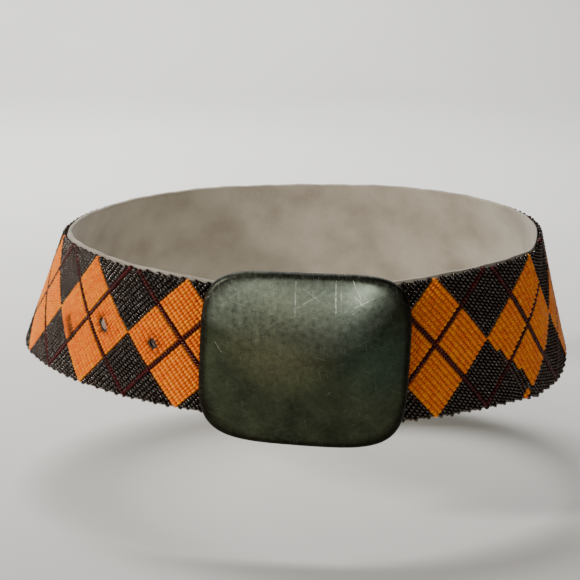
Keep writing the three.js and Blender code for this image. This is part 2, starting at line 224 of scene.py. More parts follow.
class PlateSizes(bpy.types.PropertyGroup):
    """Sizes of the buckle's plate and its fastening."""

    width: length_size("Plate width", "Across the plate", 84 * MM)
    height: length_size("Plate height", "Height of the plate", 70.5 * MM)
    centre_x: length_size("Plate middle X", "Place of the plate's middle across", 4.3 * MM)
    centre_z: length_size("Plate middle Z", "Height of the plate's middle", -0.4 * MM)
    tilt: angle_size("Plate tilt", "Turn of the plate as worn", -3)
    taper: bpy.props.FloatProperty(
        name="Taper",
        description="How much taller the plate grows towards its right side",
        default=0.016,
        max=0.2,
    )
    squareness: bpy.props.FloatProperty(
        name="Squareness", description="How square the plate's outline is", default=4.6, min=2, max=10
    )
    dome: length_size("Dome", "Rise of the plate's middle over its edge", 6.5 * MM)
    bow: length_size("Bow", "How far the plate's sides fall back round the waist", 5 * MM)
    edge_depth: length_size("Edge depth", "Depth of the edge that is turned back", 4.5 * MM)
    edge_radius: length_size("Edge radius", "Rounding of the plate's rim", 1.6 * MM)
    wall: length_size("Plate wall", "Thickness of the sheet brass", 1.5 * MM)
    rod: length_size("Rod diameter", "Diameter of the bar and of the peg", 3 * MM)
    tab_width: length_size("Tab width", "Width of the leather tab round the bar", 42 * MM)


class BeltColours(bpy.types.PropertyGroup):
    """Colours of the belt's finishes."""

    orange: colour_choice("Orange beads", "Opaque orange glass", "FF9A00")
    orange_deep: colour_choice("Deep orange beads", "Darker beads of the same orange", "F07200")
    gunmetal: colour_choice("Gunmetal beads", "Metal film on near-black glass", "625E5A")
    gunmetal_warm: colour_choice("Warm gunmetal beads", "Browner beads among the gunmetal ones", "4A3D36")
    gunmetal_edge: colour_choice("Gunmetal edges", "Reflection that is left at a glancing angle", "8C8884")
    maroon: colour_choice("Maroon beads", "Opaque dark red glass", "500B09")
    maroon_deep: colour_choice("Deep maroon beads", "Nearly black beads of the same red", "2E0504")
    thread: colour_choice("Bead thread", "Dark waxed thread between the beads", "1A0C06")
    thread_orange_bounce: colour_choice("Thread with painted orange bounce", "Thread between orange beads", "C8640A")
    leather: colour_choice("Backing leather", "Pale grey suede", "B4AA98")
    leather_worn: colour_choice("Worn leather", "Rubbed and soiled suede", "8C806E")
    leather_soiled: colour_choice("Soiled leather", "Leather round the worn holes", "A88E7E")
    leather_stain_and_shade: colour_choice("Stain and painted hole shade", "Dark mark of wear and painted shade at a hole", "1E1008")
    stitch: colour_choice("Backing stitches", "Undyed thread on the leather", "CFC6B4")
    brass_dark: colour_choice("Dark patina", "Olive black patina of the plate", "32362A")
    brass_olive: colour_choice("Olive patina", "Paler clouds in the patina", "5E664A")
    brass_rubbed_sheen: colour_choice("Rubbed patina and painted sheen", "Grey green metal where the patina is rubbed, with painted sheen", "9CA792")
    brass_brown: colour_choice("Brown patina", "Brown cloud in the patina", "9E9C76")
    brass_teal: colour_choice("Teal patina", "Cold green tint near the right side", "43594D")
    brass_rim_dark_reflection: colour_choice("Rim painted dark reflection", "Brown black painted dark reflection of the rim", "1C1912")
    brass_pit: colour_choice("Pit patina", "Soot black of the small pits", "14140F")
    brass_bright: colour_choice("Bare brass", "Metal that shows in the scratches", "E4E4D4")
    brass_rod: colour_choice("Rod brass", "Duller yellow brass of the bar and the peg", "8A7A4A")
    floor: colour_choice("Floor", "Plain pale stage", "E6E5E0")


# The band's path


def unit(vectors):
    return vectors / np.linalg.norm(vectors, axis=-1, keepdims=True)


def smooth_step(value, start, end):
    t = np.clip((value - start) / (end - start), 0, 1)
    return t * t * (3 - 2 * t)


def waist_column(bearings, column):
    """One column of the waist table at any bearings: a smooth curve that closes on itself."""
    knots = np.array([row.bearing for row in WAIST], float)
    places = np.concatenate([knots + turn for turn in (-360, 0, 360, 720)])
    values = np.tile([getattr(row, column) for row in WAIST], 4)
    span = np.diff(places)
    slope = np.diff(values) / span
    bend = (span[1:] * slope[:-1] + span[:-1] * slope[1:]) / (span[1:] + span[:-1])
    i = np.searchsorted(places, bearings, side="right") - 1
    t = (bearings - places[i]) / span[i]
    rest = 1 - t
    ends = values[i] * rest**2 * (1 + 2 * t) + values[i + 1] * t**2 * (3 - 2 * t)
    return ends + span[i] * (bend[i - 1] * t * rest**2 - bend[i] * t**2 * rest)


BEARING_STEP = 0.25


def trace_band(sizes):
    """The bead face's middle line over two turns, with its directions and half width."""
    bearings = np.arange(-180, 540 + BEARING_STEP / 2, BEARING_STEP)
    angle = np.radians(bearings)
    reach = sizes.waist_half_width * waist_column(bearings, "reach")
    rise = sizes.front_dip * waist_column(bearings, "rise")
    centre = np.stack([reach * np.sin(angle), -reach * np.cos(angle), rise], 1)
    along = unit(np.gradient(centre, axis=0))
    level = unit(np.stack([along[:, 1], -along[:, 0], 0 * angle], 1))
    upright = unit(np.cross(level, along))
    upright *= np.sign(upright[:, 2:3])
    lean = (sizes.flare * waist_column(bearings, "lean"))[:, None]
    length = np.concatenate([[0], np.cumsum(np.linalg.norm(np.diff(centre, axis=0), axis=1))])
    return {
        "length": length - np.interp(0, bearings, length),
        "bearing": bearings,
        "centre": centre,
        "along": along,
        "up": np.cos(lean) * upright - np.sin(lean) * level,
        "out": np.cos(lean) * level + np.sin(lean) * upright,
        "half": sizes.band_width * waist_column(bearings, "width") / 2,
    }


def band_value(band, name, lengths):
    """A scalar or vector of the traced band at lengths from the front."""
    values = band[name]
    if values.ndim == 1:
        return np.interp(lengths, band["length"], values)
    return np.stack([np.interp(lengths, band["length"], values[:, k]) for k in range(3)], -1)


def band_point(band, lengths, heights, depths):
    """Points on the band by length from the front, height up its width and depth below its face."""
    centre = band_value(band, "centre", lengths)
    up = unit(band_value(band, "up", lengths))
    out = unit(band_value(band, "out", lengths))
    return centre + up * np.asarray(heights)[..., None] - out * np.asarray(depths)[..., None]


# Where the strap is held, in degrees from the front, and the lengths at its two ends.
BAR_BEARING = 12
PEG_BEARING = -2.5
TIP_BEYOND_PEG = 14 * MM
TIP_RADIUS = 6 * MM
BAR_CLEARANCE = 0.5 * MM
TAB_TURN_BACK = 18 * MM
TAPER = 10 * MM


def band_places(band, plate):
    """Lengths from the front to the bar, the peg, the ends and once round the waist."""

    def at(bearing):
        return float(np.interp(bearing, band["bearing"], band["length"]))

    loop = at(360)
    bar = at(BAR_BEARING)
    peg = at(PEG_BEARING)
    return {
        "bar": bar,
        "peg": peg,
        "start": bar + plate.rod + 2 * BAR_CLEARANCE,
        "loop": loop,
        "tip": peg + TIP_BEYOND_PEG + loop,
    }


def belt_layout(scene):
    """The belt's sizes, its plate's sizes, the traced band and the places along it."""
    sizes = scene.belt_sizes
    plate = scene.belt_plate
    band = trace_band(sizes)
    return sizes, plate, band, band_places(band, plate)


def hole_length(places, sizes, hole, turns=0):
    """Length from the front to a hole of the free end, after whole turns round the waist."""
    return places["peg"] + turns * places["loop"] - sizes.hole_spacing * hole.place


# Modelling helpers


def new_round(kind, **settings):
    """Add a round primitive with nothing else selected, and give it back."""
    bpy.ops.object.select_all(action="DESELECT")
    getattr(bpy.ops.mesh, f"primitive_{kind}_add")(**settings)
    return bpy.context.object


def only(piece):
    """Deselect all and make one piece the selected and active one."""
    bpy.ops.object.select_all(action="DESELECT")
    piece.select_set(True)
    bpy.context.view_layer.objects.active = piece


def edit_selection(piece, kind, chosen):
    """Select in edit mode, by a test on each vertex, edge or face."""
    bpy.ops.mesh.select_mode(type=kind)
    bpy.ops.mesh.select_all(action="DESELECT")
    shape = bmesh.from_edit_mesh(piece.data)
    for item in {"VERT": shape.verts, "EDGE": shape.edges, "FACE": shape.faces}[kind]:
        if chosen(item):
            item.select_set(True)
    bmesh.update_edit_mesh(piece.data)


def apply_modifier(piece, kind, **settings):
    only(piece)
    modifier = piece.modifiers.new(kind.title(), kind)
    for key, value in settings.items():
        setattr(modifier, key, value)
    bpy.ops.object.modifier_apply(modifier=modifier.name)


def tidy_normals(piece, doubles=1e-6):
    only(piece)
    bpy.ops.object.mode_set(mode="EDIT")
    bpy.ops.mesh.select_all(action="SELECT")
    bpy.ops.mesh.remove_doubles(threshold=doubles)
    bpy.ops.mesh.normals_make_consistent(inside=False)
    bpy.ops.object.mode_set(mode="OBJECT")


def set_points(piece, points):
    piece.data.vertices.foreach_set("co", np.asarray(points, np.float32).ravel())
    piece.data.update()


def finish_piece(piece, material, node=None, angle=40):
    """Name what a piece rides on and material, and smooth it."""
    only(piece)
    bpy.ops.object.shade_smooth_by_angle(angle=math.radians(angle))
    piece.data.materials.clear()
    piece.data.materials.append(material)
    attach(piece, BODY)
    if node:
        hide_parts(node)


def strap_sheet(name, points, lengths, heights):
    """A sheet over a grid of points, whose UV map is its length and height in metres."""
    long_count, high_count = points.shape[:2]
    bpy.ops.object.select_all(action="DESELECT")
    bpy.ops.mesh.primitive_grid_add(
        x_subdivisions=long_count - 1, y_subdivisions=high_count - 1, size=1, calc_uvs=True
    )
    sheet = bpy.context.object
    sheet.name = name
    set_points(sheet, points.transpose(1, 0, 2).reshape(-1, 3))
    corner = np.empty(len(sheet.data.loops), np.int32)
    sheet.data.loops.foreach_get("vertex_index", corner)
    flat = np.stack([lengths.T.ravel(), heights.T.ravel()], 1)[corner]
    sheet.data.uv_layers[0].data.foreach_set("uv", flat.astype(np.float32).ravel())
    return sheet


def hole_frame(band, length, hole, depth):
    """Placing of a hole: its middle at a depth, X across it, Y along it and Z outwards."""
    at = np.array([length])
    up = Vector(band_value(band, "up", at)[0]).normalized()
    out = Vector(band_value(band, "out", at)[0]).normalized()
    tilt = Matrix.Rotation(math.radians(hole.tilt), 4, "Z")
    turn = Matrix((up.cross(out), up, out)).transposed().to_4x4() @ tilt
    centre = Vector(band_point(band, at, np.array([-hole.drop]), np.full(1, depth))[0])
    return Matrix.Translation(centre) @ turn


def cut_hole(piece, band, length, hole, share):
    """Cut one round-ended hole through a layer of the band."""
    width = hole.width * share
    cutter = new_round("cylinder", vertices=HOLE_SIDES, radius=width / 2, depth=CUTTER_DEPTH)
    stretch = max(hole.height - width, 0) / 2
    for vertex in cutter.data.vertices:
        vertex.co.y += math.copysign(stretch, vertex.co.y + 1e-7)
    cutter.data.transform(hole_frame(band, length, hole, 0.0))
    apply_modifier(piece, "BOOLEAN", operation="DIFFERENCE", object=cutter, solver="EXACT")
    bpy.data.objects.remove(cutter)


def swell_leather(leather, band, length, hole, depth):
    """Raise the leather in a hole to a soft lip, as if it had been pulled out through the beads."""
    lip = new_round("uv_sphere", segments=HOLE_SIDES, ring_count=12, radius=1.0)
    wide, high = LIP_SHARES
    lip.data.transform(Matrix.Diagonal((wide * hole.width, high * hole.height, hole.swell, 1.0)))
    lip.data.transform(hole_frame(band, length, hole, depth))
    apply_modifier(leather, "BOOLEAN", operation="UNION", object=lip, solver="EXACT")
    bpy.data.objects.remove(lip)


def joined_copies(name, pattern, places, shades):
    """One mesh of many copies of a small pattern mesh, each at its own 3 by 4 placing.

    Every copy's vertices carry its own shade, for the finish to vary by.
    """
    count = len(places)
    local = np.empty(len(pattern.vertices) * 3)
    pattern.vertices.foreach_get("co", local)
    local = local.reshape(-1, 3)
    points = np.einsum("nij,vj->nvi", places[:, :, :3], local) + places[:, None, :, 3]
    starts = np.empty(len(pattern.polygons), np.int32)
    pattern.polygons.foreach_get("loop_start", starts)
    corners = np.empty(len(pattern.loops), np.int32)
    pattern.loops.foreach_get("vertex_index", corners)
    step = np.arange(count)[:, None]
    mesh = bpy.data.meshes.new(name)
    mesh.vertices.add(count * len(local))
    mesh.vertices.foreach_set("co", points.astype(np.float32).ravel())
    mesh.loops.add(count * len(corners))
    mesh.loops.foreach_set("vertex_index", (corners + step * len(local)).astype(np.int32).ravel())
    mesh.polygons.add(count * len(starts))
    mesh.polygons.foreach_set("loop_start", (starts + step * len(corners)).astype(np.int32).ravel())
    mesh.update(calc_edges=True)
    shade = mesh.attributes.new("shade", "FLOAT", "POINT")
    shade.data.foreach_set("value", np.repeat(shades, len(local)).astype(np.float32))
    piece = bpy.data.objects.new(name, mesh)
    bpy.context.collection.objects.link(piece)
    return piece


# Material helpers


def feed(tree, node, inputs):
    """Give a node's inputs their values: numbers, colours or another node's sockets."""
    for key, value in inputs.items():
        if isinstance(value, bpy.types.NodeSocket):
            tree.links.new(value, node.inputs[key])
        else:
            node.inputs[key].default_value = value


def add_node(tree, kind, inputs=None, **settings):
    node = tree.nodes.new(kind)
    for key, value in settings.items():
        setattr(node, key, value)
    feed(tree, node, inputs or {})
    return node


def new_material(name):
    """A material with an empty shader, and its tree."""
    material = bpy.data.materials.new(name)
    material.use_nodes = True
    tree = material.node_tree
    tree.nodes.clear()
    shader = tree.nodes.new("ShaderNodeBsdfPrincipled")
    output = tree.nodes.new("ShaderNodeOutputMaterial")
    tree.links.new(shader.outputs["BSDF"], output.inputs["Surface"])
    return material, tree, shader


def mixed(tree, factor, first, second):
    """Colour between two, by a factor socket or number."""
    inputs = {0: factor, 6: first, 7: second}
    return add_node(tree, "ShaderNodeMix", inputs, data_type="RGBA").outputs[2]


def ranged(tree, value, low, high, to_low=0.0, to_high=1.0):
    """A value stretched from one range to another, and kept inside it."""
    inputs = {"Value": value, "From Min": low, "From Max": high, "To Min": to_low, "To Max": to_high}
    return add_node(tree, "ShaderNodeMapRange", inputs, clamp=True).outputs["Result"]


def combined(tree, operation, first, second):
    return add_node(tree, "ShaderNodeMath", {0: first, 1: second}, operation=operation).outputs[0]


def vectors(tree, operation, first, second, output="Vector"):
    """Two vectors put together, or for SCALE a vector and a number."""
    inputs = {0: first, "Scale" if operation == "SCALE" else 1: second}
    return add_node(tree, "ShaderNodeVectorMath", inputs, operation=operation).outputs[output]


def attribute(tree, name):
    return add_node(tree, "ShaderNodeAttribute", attribute_name=name).outputs["Fac"]


def noise(tree, place, size, detail=3.0, roughness=0.5):
    """Noise whose features are about size metres across."""
    inputs = {"Vector": place, "Scale": 1 / size, "Detail": detail, "Roughness": roughness}
    return add_node(tree, "ShaderNodeTexNoise", inputs).outputs["Fac"]


def object_place(tree):
    return add_node(tree, "ShaderNodeTexCoord").outputs["Object"]


def bump(tree, shader, height, distance, strength=1.0):
    inputs = {"Height": height, "Distance": distance, "Strength": strength}
    normal = add_node(tree, "ShaderNodeBump", inputs).outputs["Normal"]
    tree.links.new(normal, shader.inputs["Normal"])


# Materials


def seed_bead_glass(name, light, deep, roughness, index, edge=None):
    """Opaque glass, drawn and tumbled: glossy, with a body colour that differs from bead to bead
    and is dulled here and there by a film. The lower the index, the more the gloss is dulled.
    A shade below zero darkens a bead near a worn hole: soil, and painted shade where the rows
    part at a closed slit. With an edge colour the glass is coated with a thin metal film, whose
    colours the others then are."""
    material, tree, shader = new_material(name)
    shade = attribute(tree, "shade")
    colour = mixed(tree, shade, tuple(deep), tuple(light))
    film = ranged(tree, noise(tree, object_place(tree), 14 * MM, 2.0), 0.45, 0.75, 0.0, 0.22)
    colour = mixed(tree, film, colour, tuple(deep))
    dark = tuple(0.12 * c for c in deep[:3]) + (1.0,)
    # Soil and painted shade: beads near a worn hole are darkened, which also stands for the shade in the gap
    # where rows part at a closed slit.
    soil_and_slit_shade = ranged(tree, shade, 0.0, -1.0, 0.0, 0.8)
    base = mixed(tree, soil_and_slit_shade, colour, dark)
    feed(tree, shader, {"Base Color": base, "Roughness": roughness, "IOR": index})
    if edge:
        feed(tree, shader, {"Metallic": 1.0, "Specular Tint": tuple(edge)})
    return material


def waxed_thread(name, colour, warm):
    """Waxed beading thread: matt, with the fine cross ribs of its twist. Where its attribute says so,
    its colour is mixed towards a painted orange bounce light, as if lit by the beads around it."""
    material, tree, shader = new_material(name)
    place = object_place(tree)
    grain = noise(tree, place, 0.5 * MM, 2.0)
    # Painted orange bounce light on the thread between orange beads.
    bounce_share = attribute(tree, "warm")
    base = mixed(tree, bounce_share, tuple(colour), tuple(warm))
    uneven = ranged(tree, grain, 0.3, 0.7, 0.6, 1.0)
    base = vectors(tree, "SCALE", base, uneven)
    feed(tree, shader, {"Base Color": base, "Roughness": 0.7, "IOR": 1.5})
    bump(tree, shader, grain, 0.1 * MM, 0.6)
    return material


def suede_leather(name, colours, stains):
    """Split leather with a short nap: matt, cloudy where it is rubbed, with fine fibres and a
    dark mark at each hole, which is wear and also painted shade of the hole's dark opening."""
    material, tree, shader = new_material(name)
    place = object_place(tree)
    cloud = ranged(tree, noise(tree, place, 22 * MM, 4.0), 0.35, 0.7)
    nap = noise(tree, place, 0.45 * MM, 4.0, 0.7)
    fibre = ranged(tree, nap, 0.3, 0.7)
    base = mixed(tree, cloud, tuple(colours.leather), tuple(colours.leather_worn))
    pale = tuple(min(1.0, 1.25 * c) for c in colours.leather[:3]) + (1.0,)
    base = mixed(tree, combined(tree, "MULTIPLY", fibre, 0.35), base, pale)
    for spot, radius in stains:
        frayed = ranged(tree, noise(tree, place, 1.2 * MM), 0.3, 0.7, -0.4 * MM, 0.4 * MM)
        off = combined(tree, "ADD", vectors(tree, "DISTANCE", place, spot, "Value"), frayed)
        soiled = ranged(tree, off, 3 * MM, 6 * MM, 0.8, 0.0)
        base = mixed(tree, soiled, base, tuple(colours.leather_soiled))
        # The dark mark at each hole: wear, and painted shade that stands for the hole's dark opening.
        dark = ranged(tree, off, 0.8 * radius, 1.2 * radius, 0.97, 0.0)
        base = mixed(tree, dark, base, tuple(colours.leather_stain_and_shade))
    feed(tree, shader, {"Base Color": base, "Roughness": 0.92, "IOR": 1.45})
    feed(tree, shader, {"Sheen Weight": 0.35, "Sheen Roughness": 0.5})
    creases = noise(tree, place, 5 * MM, 3.0, 0.6)
    height = combined(tree, "ADD", combined(tree, "MULTIPLY", creases, 2.0), nap)
    bump(tree, shader, height, 0.18 * MM, 0.7)
    return material


def scratch_mask(tree, flat, scratch):
    """Strength of one straight scratch over the plate, from the distance to its line."""
    turn = math.radians(scratch.turn)
    way = (math.cos(turn), math.sin(turn), 0.0)
    start = (scratch.across, scratch.high, 0.0)
    reach = vectors(tree, "SUBTRACT", flat, start)
    run = vectors(tree, "DOT_PRODUCT", reach, way, "Value")
    kept = ranged(tree, run, 0.0, scratch.length, 0.0, scratch.length)
    off = vectors(tree, "DISTANCE", reach, vectors(tree, "SCALE", way, kept), "Value")
    return ranged(tree, off, 0.3 * scratch.width, scratch.width, scratch.bright, 0.0)


# The plate's rubbed zone, where its top is also painted paler as a sheen: where its border is
# lowest, how steeply that rises to the left and to the right of there, and how far it fades either way.
RUBBED_SHEEN_FOOT = (12 * MM, 8.5 * MM)
RUBBED_SHEEN_STEEP = (1 / (220 * MM), 1 / (32 * MM))
RUBBED_SHEEN_FADE = 7 * MM

# Clouds of another colour in the patina: place across and high, radius and strength.
Cloud = namedtuple("Cloud", "colour across high radius strength")
PATINA_CLOUDS = [
    Cloud("brass_brown", -9 * MM, 11 * MM, 26 * MM, 0.5),
    Cloud("brass_teal", 29 * MM, 1 * MM, 20 * MM, 0.6),
]

# How far the scratches stray from a straight line, and the ways that the fine hairs run.
SCRATCH_STRAY = 0.6 * MM
HAIR_TURNS = (8, 62, 117)


def aged_brass(name, colours, plate):
    """Sheet brass under an old olive patina: satin, cloudy, rubbed greyer where hands touch it,
    with a painted sheen over that rubbed top and a painted dark reflection on the rim,
    pitted here and there, with bright metal in its scratches."""
    material, tree, shader = new_material(name)
    place = object_place(tree)
    centred = vectors(tree, "SUBTRACT", place, (plate.centre_x, 0.0, plate.centre_z))
    parts = add_node(tree, "ShaderNodeSeparateXYZ", {"Vector": centred}).outputs
    flat = add_node(tree, "ShaderNodeCombineXYZ", {"X": parts["X"], "Y": parts["Z"]}).outputs["Vector"]
    clouds = ranged(tree, noise(tree, flat, 16 * MM, 5.0, 0.6), 0.35, 0.68)
    mottle = ranged(tree, noise(tree, flat, 2.2 * MM, 6.0, 0.7), 0.3, 0.75)
    # The rubbed zone, with its painted sheen, ends below in a wide curve, steeper on the right.
    beside = combined(tree, "SUBTRACT", parts["X"], RUBBED_SHEEN_FOOT[0])
    bowed = combined(tree, "MULTIPLY", beside, beside)
    steep = ranged(tree, beside, -1 * MM, 1 * MM, *RUBBED_SHEEN_STEEP)
    border = combined(tree, "ADD", combined(tree, "MULTIPLY", bowed, steep), RUBBED_SHEEN_FOOT[1])
    above = combined(tree, "SUBTRACT", parts["Z"], border)
    rubbed = ranged(tree, above, -RUBBED_SHEEN_FADE, RUBBED_SHEEN_FADE)
    rubbed = combined(tree, "MULTIPLY", rubbed, ranged(tree, mottle, 0.0, 1.0, 0.7, 1.0))
    clouds = combined(tree, "MULTIPLY", clouds, 0.45)
    base = mixed(tree, clouds, tuple(colours.brass_dark), tuple(colours.brass_olive))
    # Rubbed wear and painted sheen: the top of the plate is coloured paler grey green.
    base = mixed(tree, rubbed, base, tuple(colours.brass_rubbed_sheen))
    for cloud in PATINA_CLOUDS:
        off = vectors(tree, "DISTANCE", flat, (cloud.across, cloud.high, 0.0), "Value")
        spread = ranged(tree, off, 0.2 * cloud.radius, cloud.radius, cloud.strength, 0.0)
        spread = combined(tree, "MULTIPLY", spread, ranged(tree, mottle, 0.0, 1.0, 0.55, 1.0))
        base = mixed(tree, spread, base, tuple(getattr(colours, cloud.colour)))
    grain = noise(tree, flat, 0.7 * MM, 4.0, 0.6)
    coarse = ranged(tree, mottle, 0.0, 1.0, 0.72, 1.18)
    uneven = combined(tree, "MULTIPLY", coarse, ranged(tree, grain, 0.3, 0.7, 0.93, 1.07))
    base = vectors(tree, "SCALE", base, uneven)
    pits = add_node(tree, "ShaderNodeTexVoronoi", {"Vector": flat, "Scale": 1 / (6 * MM)})
    pit = ranged(tree, pits.outputs["Distance"], 0.02, 0.045, 0.6, 0.0)
    base = mixed(tree, pit, base, tuple(colours.brass_pit))
    # Painted dark reflection: the rim is coloured brown black where it turns back, as if it reflected a dark
    # room.
    rim = combined(tree, "MULTIPLY", attribute(tree, "rim"), ranged(tree, mottle, 0.0, 1.0, 1.0, 0.8))
    base = mixed(tree, rim, base, tuple(colours.brass_rim_dark_reflection))
    drift = add_node(tree, "ShaderNodeTexNoise", {"Vector": flat, "Scale": 1 / (4 * MM), "Detail": 2.0})
    inputs = {"Vector": drift.outputs["Color"], 9: (-SCRATCH_STRAY,) * 3, 10: (SCRATCH_STRAY,) * 3}
    drift = add_node(tree, "ShaderNodeMapRange", inputs, data_type="FLOAT_VECTOR").outputs["Vector"]
    unsteady = vectors(tree, "ADD", flat, drift)
    total = 0.0
    for scratch in PLATE_SCRATCHES:
        total = combined(tree, "MAXIMUM", scratch_mask(tree, unsteady, scratch), total)
    fine = 0.0
    for turn in HAIR_TURNS:
        inputs = {"Vector": flat, "Rotation": (0.0, 0.0, math.radians(turn)), "Scale": (0.03, 1.0, 1.0)}
        stretch = add_node(tree, "ShaderNodeMapping", inputs, vector_type="TEXTURE").outputs["Vector"]
        hair = ranged(tree, noise(tree, stretch, 9 * MM, 1.0), 0.67, 0.74, 0.0, 0.26)
        fine = combined(tree, "MAXIMUM", hair, fine)
    # The fine hairs are drawn stronger in the rubbed zone, under its painted sheen.
    fine = combined(tree, "MULTIPLY", fine, ranged(tree, above, -16 * MM, 6 * MM, 0.3, 1.0))
    worn = ranged(tree, noise(tree, flat, 1.2 * MM, 4.0), 0.32, 0.55, 0.1, 1.0)
    marks = combined(tree, "MULTIPLY", combined(tree, "MAXIMUM", total, fine), worn)
    base = mixed(tree, marks, base, tuple(colours.brass_bright))
    satin = ranged(tree, mottle, 0.0, 1.0, 0.26, 0.36)
    satin = combined(tree, "MAXIMUM", satin, combined(tree, "MULTIPLY", rim, 0.55))
    feed(tree, shader, {"Base Color": base, "Metallic": 1.0, "Roughness": satin})
    relief = combined(tree, "SUBTRACT", combined(tree, "MULTIPLY", mottle, 0.25), marks)
    bump(tree, shader, combined(tree, "SUBTRACT", relief, pit), 0.05 * MM, 0.5)
    return material


def matt_paint(name, colour):
    """Matt emulsion: one even pale tone with barely visible unevenness."""
    material, tree, shader = new_material(name)
    tone = ranged(tree, noise(tree, object_place(tree), 0.3, 2.0), 0.3, 0.7)
    shade = tuple(0.96 * c for c in colour[:3]) + (1.0,)
    feed(tree, shader, {"Base Color": mixed(tree, tone, shade, tuple(colour)), "Roughness": 0.9})
    return material


# Operators

# Uneven waves of the leather's cut upper edge: each one's share, radians a metre and phase.
RAGGED_HEIGHT = 0.12 * MM
RAGGED_WAVES = [(1.0, 310, 0), (1.0, 127, 1), (0.6, 733, 2)]

# Grid of the leather: rows across it, points along the end that is turned back, round the bar
# and round the tip, and the step along the rest of the strap.
LEATHER_ROWS = 27
BACK_POINTS = 12
TURN_POINTS = 17
TIP_POINTS = 8
STRAP_STEP = 2.2 * MM
LEATHER_EDGE = 0.35 * MM


class BELT_OT_leather_backing(bpy.types.Operator):
    """Soft leather behind the beads, with its fixed end turned round the bar"""

    bl_idname = "belt.leather_backing"
    bl_label = "Leather Backing"

    def execute(self, context):
        sizes, plate, band, places = belt_layout(context.scene)
        colours = context.scene.belt_colours
        thickness = sizes.leather_thickness
        middle = BEAD_THICKNESS + LAYER_GAP + thickness / 2
        inside = BEAD_THICKNESS + LAYER_GAP + thickness
        bar_depth = inside + BAR_CLEARANCE + plate.rod / 2
        turn_radius = bar_depth - middle
        bar = places["bar"]

        def straight(length, depth):
            return band_point(band, length, 0 * length, depth), unit(band_value(band, "up", length))

        # The end that is turned back, then the turn round the bar, then the strap to its tip.
        out = np.linspace(TAB_TURN_BACK, 0.08 * TAB_TURN_BACK, BACK_POINTS)
        shut = inside + LAYER_GAP + thickness / 2
        close = smooth_step(out, 0, 0.7 * TAB_TURN_BACK)
        open_depth = bar_depth + turn_radius
        back_points, back_up = straight(bar + out, open_depth + (shut - bar_depth - turn_radius) * close)
        angle = np.linspace(math.pi, 0, TURN_POINTS)
        here = np.full(len(angle), bar)
        bar_out = unit(band_value(band, "out", here))
        bar_along = unit(band_value(band, "along", here))
        turn_points = band_value(band, "centre", here)
        turn_points = turn_points + bar_out * (turn_radius * np.cos(angle) - bar_depth)[:, None]
        turn_points = turn_points - bar_along * (turn_radius * np.sin(angle))[:, None]
        turn_up = unit(band_value(band, "up", here))
        first = bar + plate.rod
        corner = places["tip"] - TIP_RADIUS
        round_tip = corner + TIP_RADIUS * np.sin(np.linspace(0, 0.5 * math.pi, TIP_POINTS))
        lengths = np.concatenate([np.arange(first, corner, STRAP_STEP), round_tip])
        points, ups = straight(lengths, np.full(len(lengths), middle))
        cover = smooth_step(lengths, first, first + TAPER)
        inset = (1 - cover) * (sizes.band_width - plate.tab_width) / 2
        to_tip = np.clip(places["tip"] - lengths, 0, TIP_RADIUS)
        corner = TIP_RADIUS - np.sqrt(TIP_RADIUS**2 - (TIP_RADIUS - to_tip) ** 2)
        half = band_value(band, "half", lengths) - inset - corner
        waves = sum(share * np.sin(lengths * rate + phase) for share, rate, phase in RAGGED_WAVES)
        tab = np.full(len(out) + len(angle), plate.tab_width / 2)
        low = np.concatenate([tab, half])
        bearing = (band_value(band, "bearing", lengths) + 180) % 360 - 180
        rise = sizes.leather_rise * np.interp(bearing, *zip(*LEATHER_RISE))
        high = np.concatenate([tab, half + cover * (rise + RAGGED_HEIGHT * waves)])
        middle_line = np.concatenate([back_points, turn_points, points])
        directions = np.concatenate([back_up, turn_up, ups])
        run = np.concatenate([[0], np.cumsum(np.linalg.norm(np.diff(middle_line, axis=0), axis=1))])
        shares = np.linspace(0, 1, LEATHER_ROWS)
        heights = -low[:, None] + (low + high)[:, None] * shares
        grid = middle_line[:, None, :] + directions[:, None, :] * heights[:, :, None]
        leather = strap_sheet("leather_backing", grid, np.repeat(run[:, None], len(shares), 1), heights)
        apply_modifier(leather, "SOLIDIFY", thickness=thickness, offset=0.0)
        tidy_normals(leather)
        sharp = math.radians(60)
        apply_modifier(
            leather, "BEVEL", width=LEATHER_EDGE, segments=2, limit_method="ANGLE", angle_limit=sharp
        )
        cut_hole(leather, band, places["peg"], PEG_HOLE, PEG_HOLE.slit)
        for hole in WORN_HOLES:
            length = hole_length(places, sizes, hole)
            if hole.swell:
                swell_leather(leather, band, length, hole, BEAD_THICKNESS + LAYER_GAP)
            cut_hole(leather, band, length, hole, hole.slit)
        # Dark marks at the holes: wear, and painted shade of each hole's dark opening.
        stains = []
        for hole in [PEG_HOLE, *WORN_HOLES]:
            at = np.array([hole_length(places, sizes, hole) + STAIN_AND_SHADE_SHIFT[0]])
            down = np.array([STAIN_AND_SHADE_SHIFT[1] - hole.drop])
            centre = band_point(band, at, down, np.full(1, BEAD_THICKNESS + LAYER_GAP))
            stains.append((tuple(float(c) for c in centre[0]), hole.stain))
        material = suede_leather("Pale grey suede split", colours, stains)
        finish_piece(leather, material, BACKING_NODE)
        return {"FINISHED"}


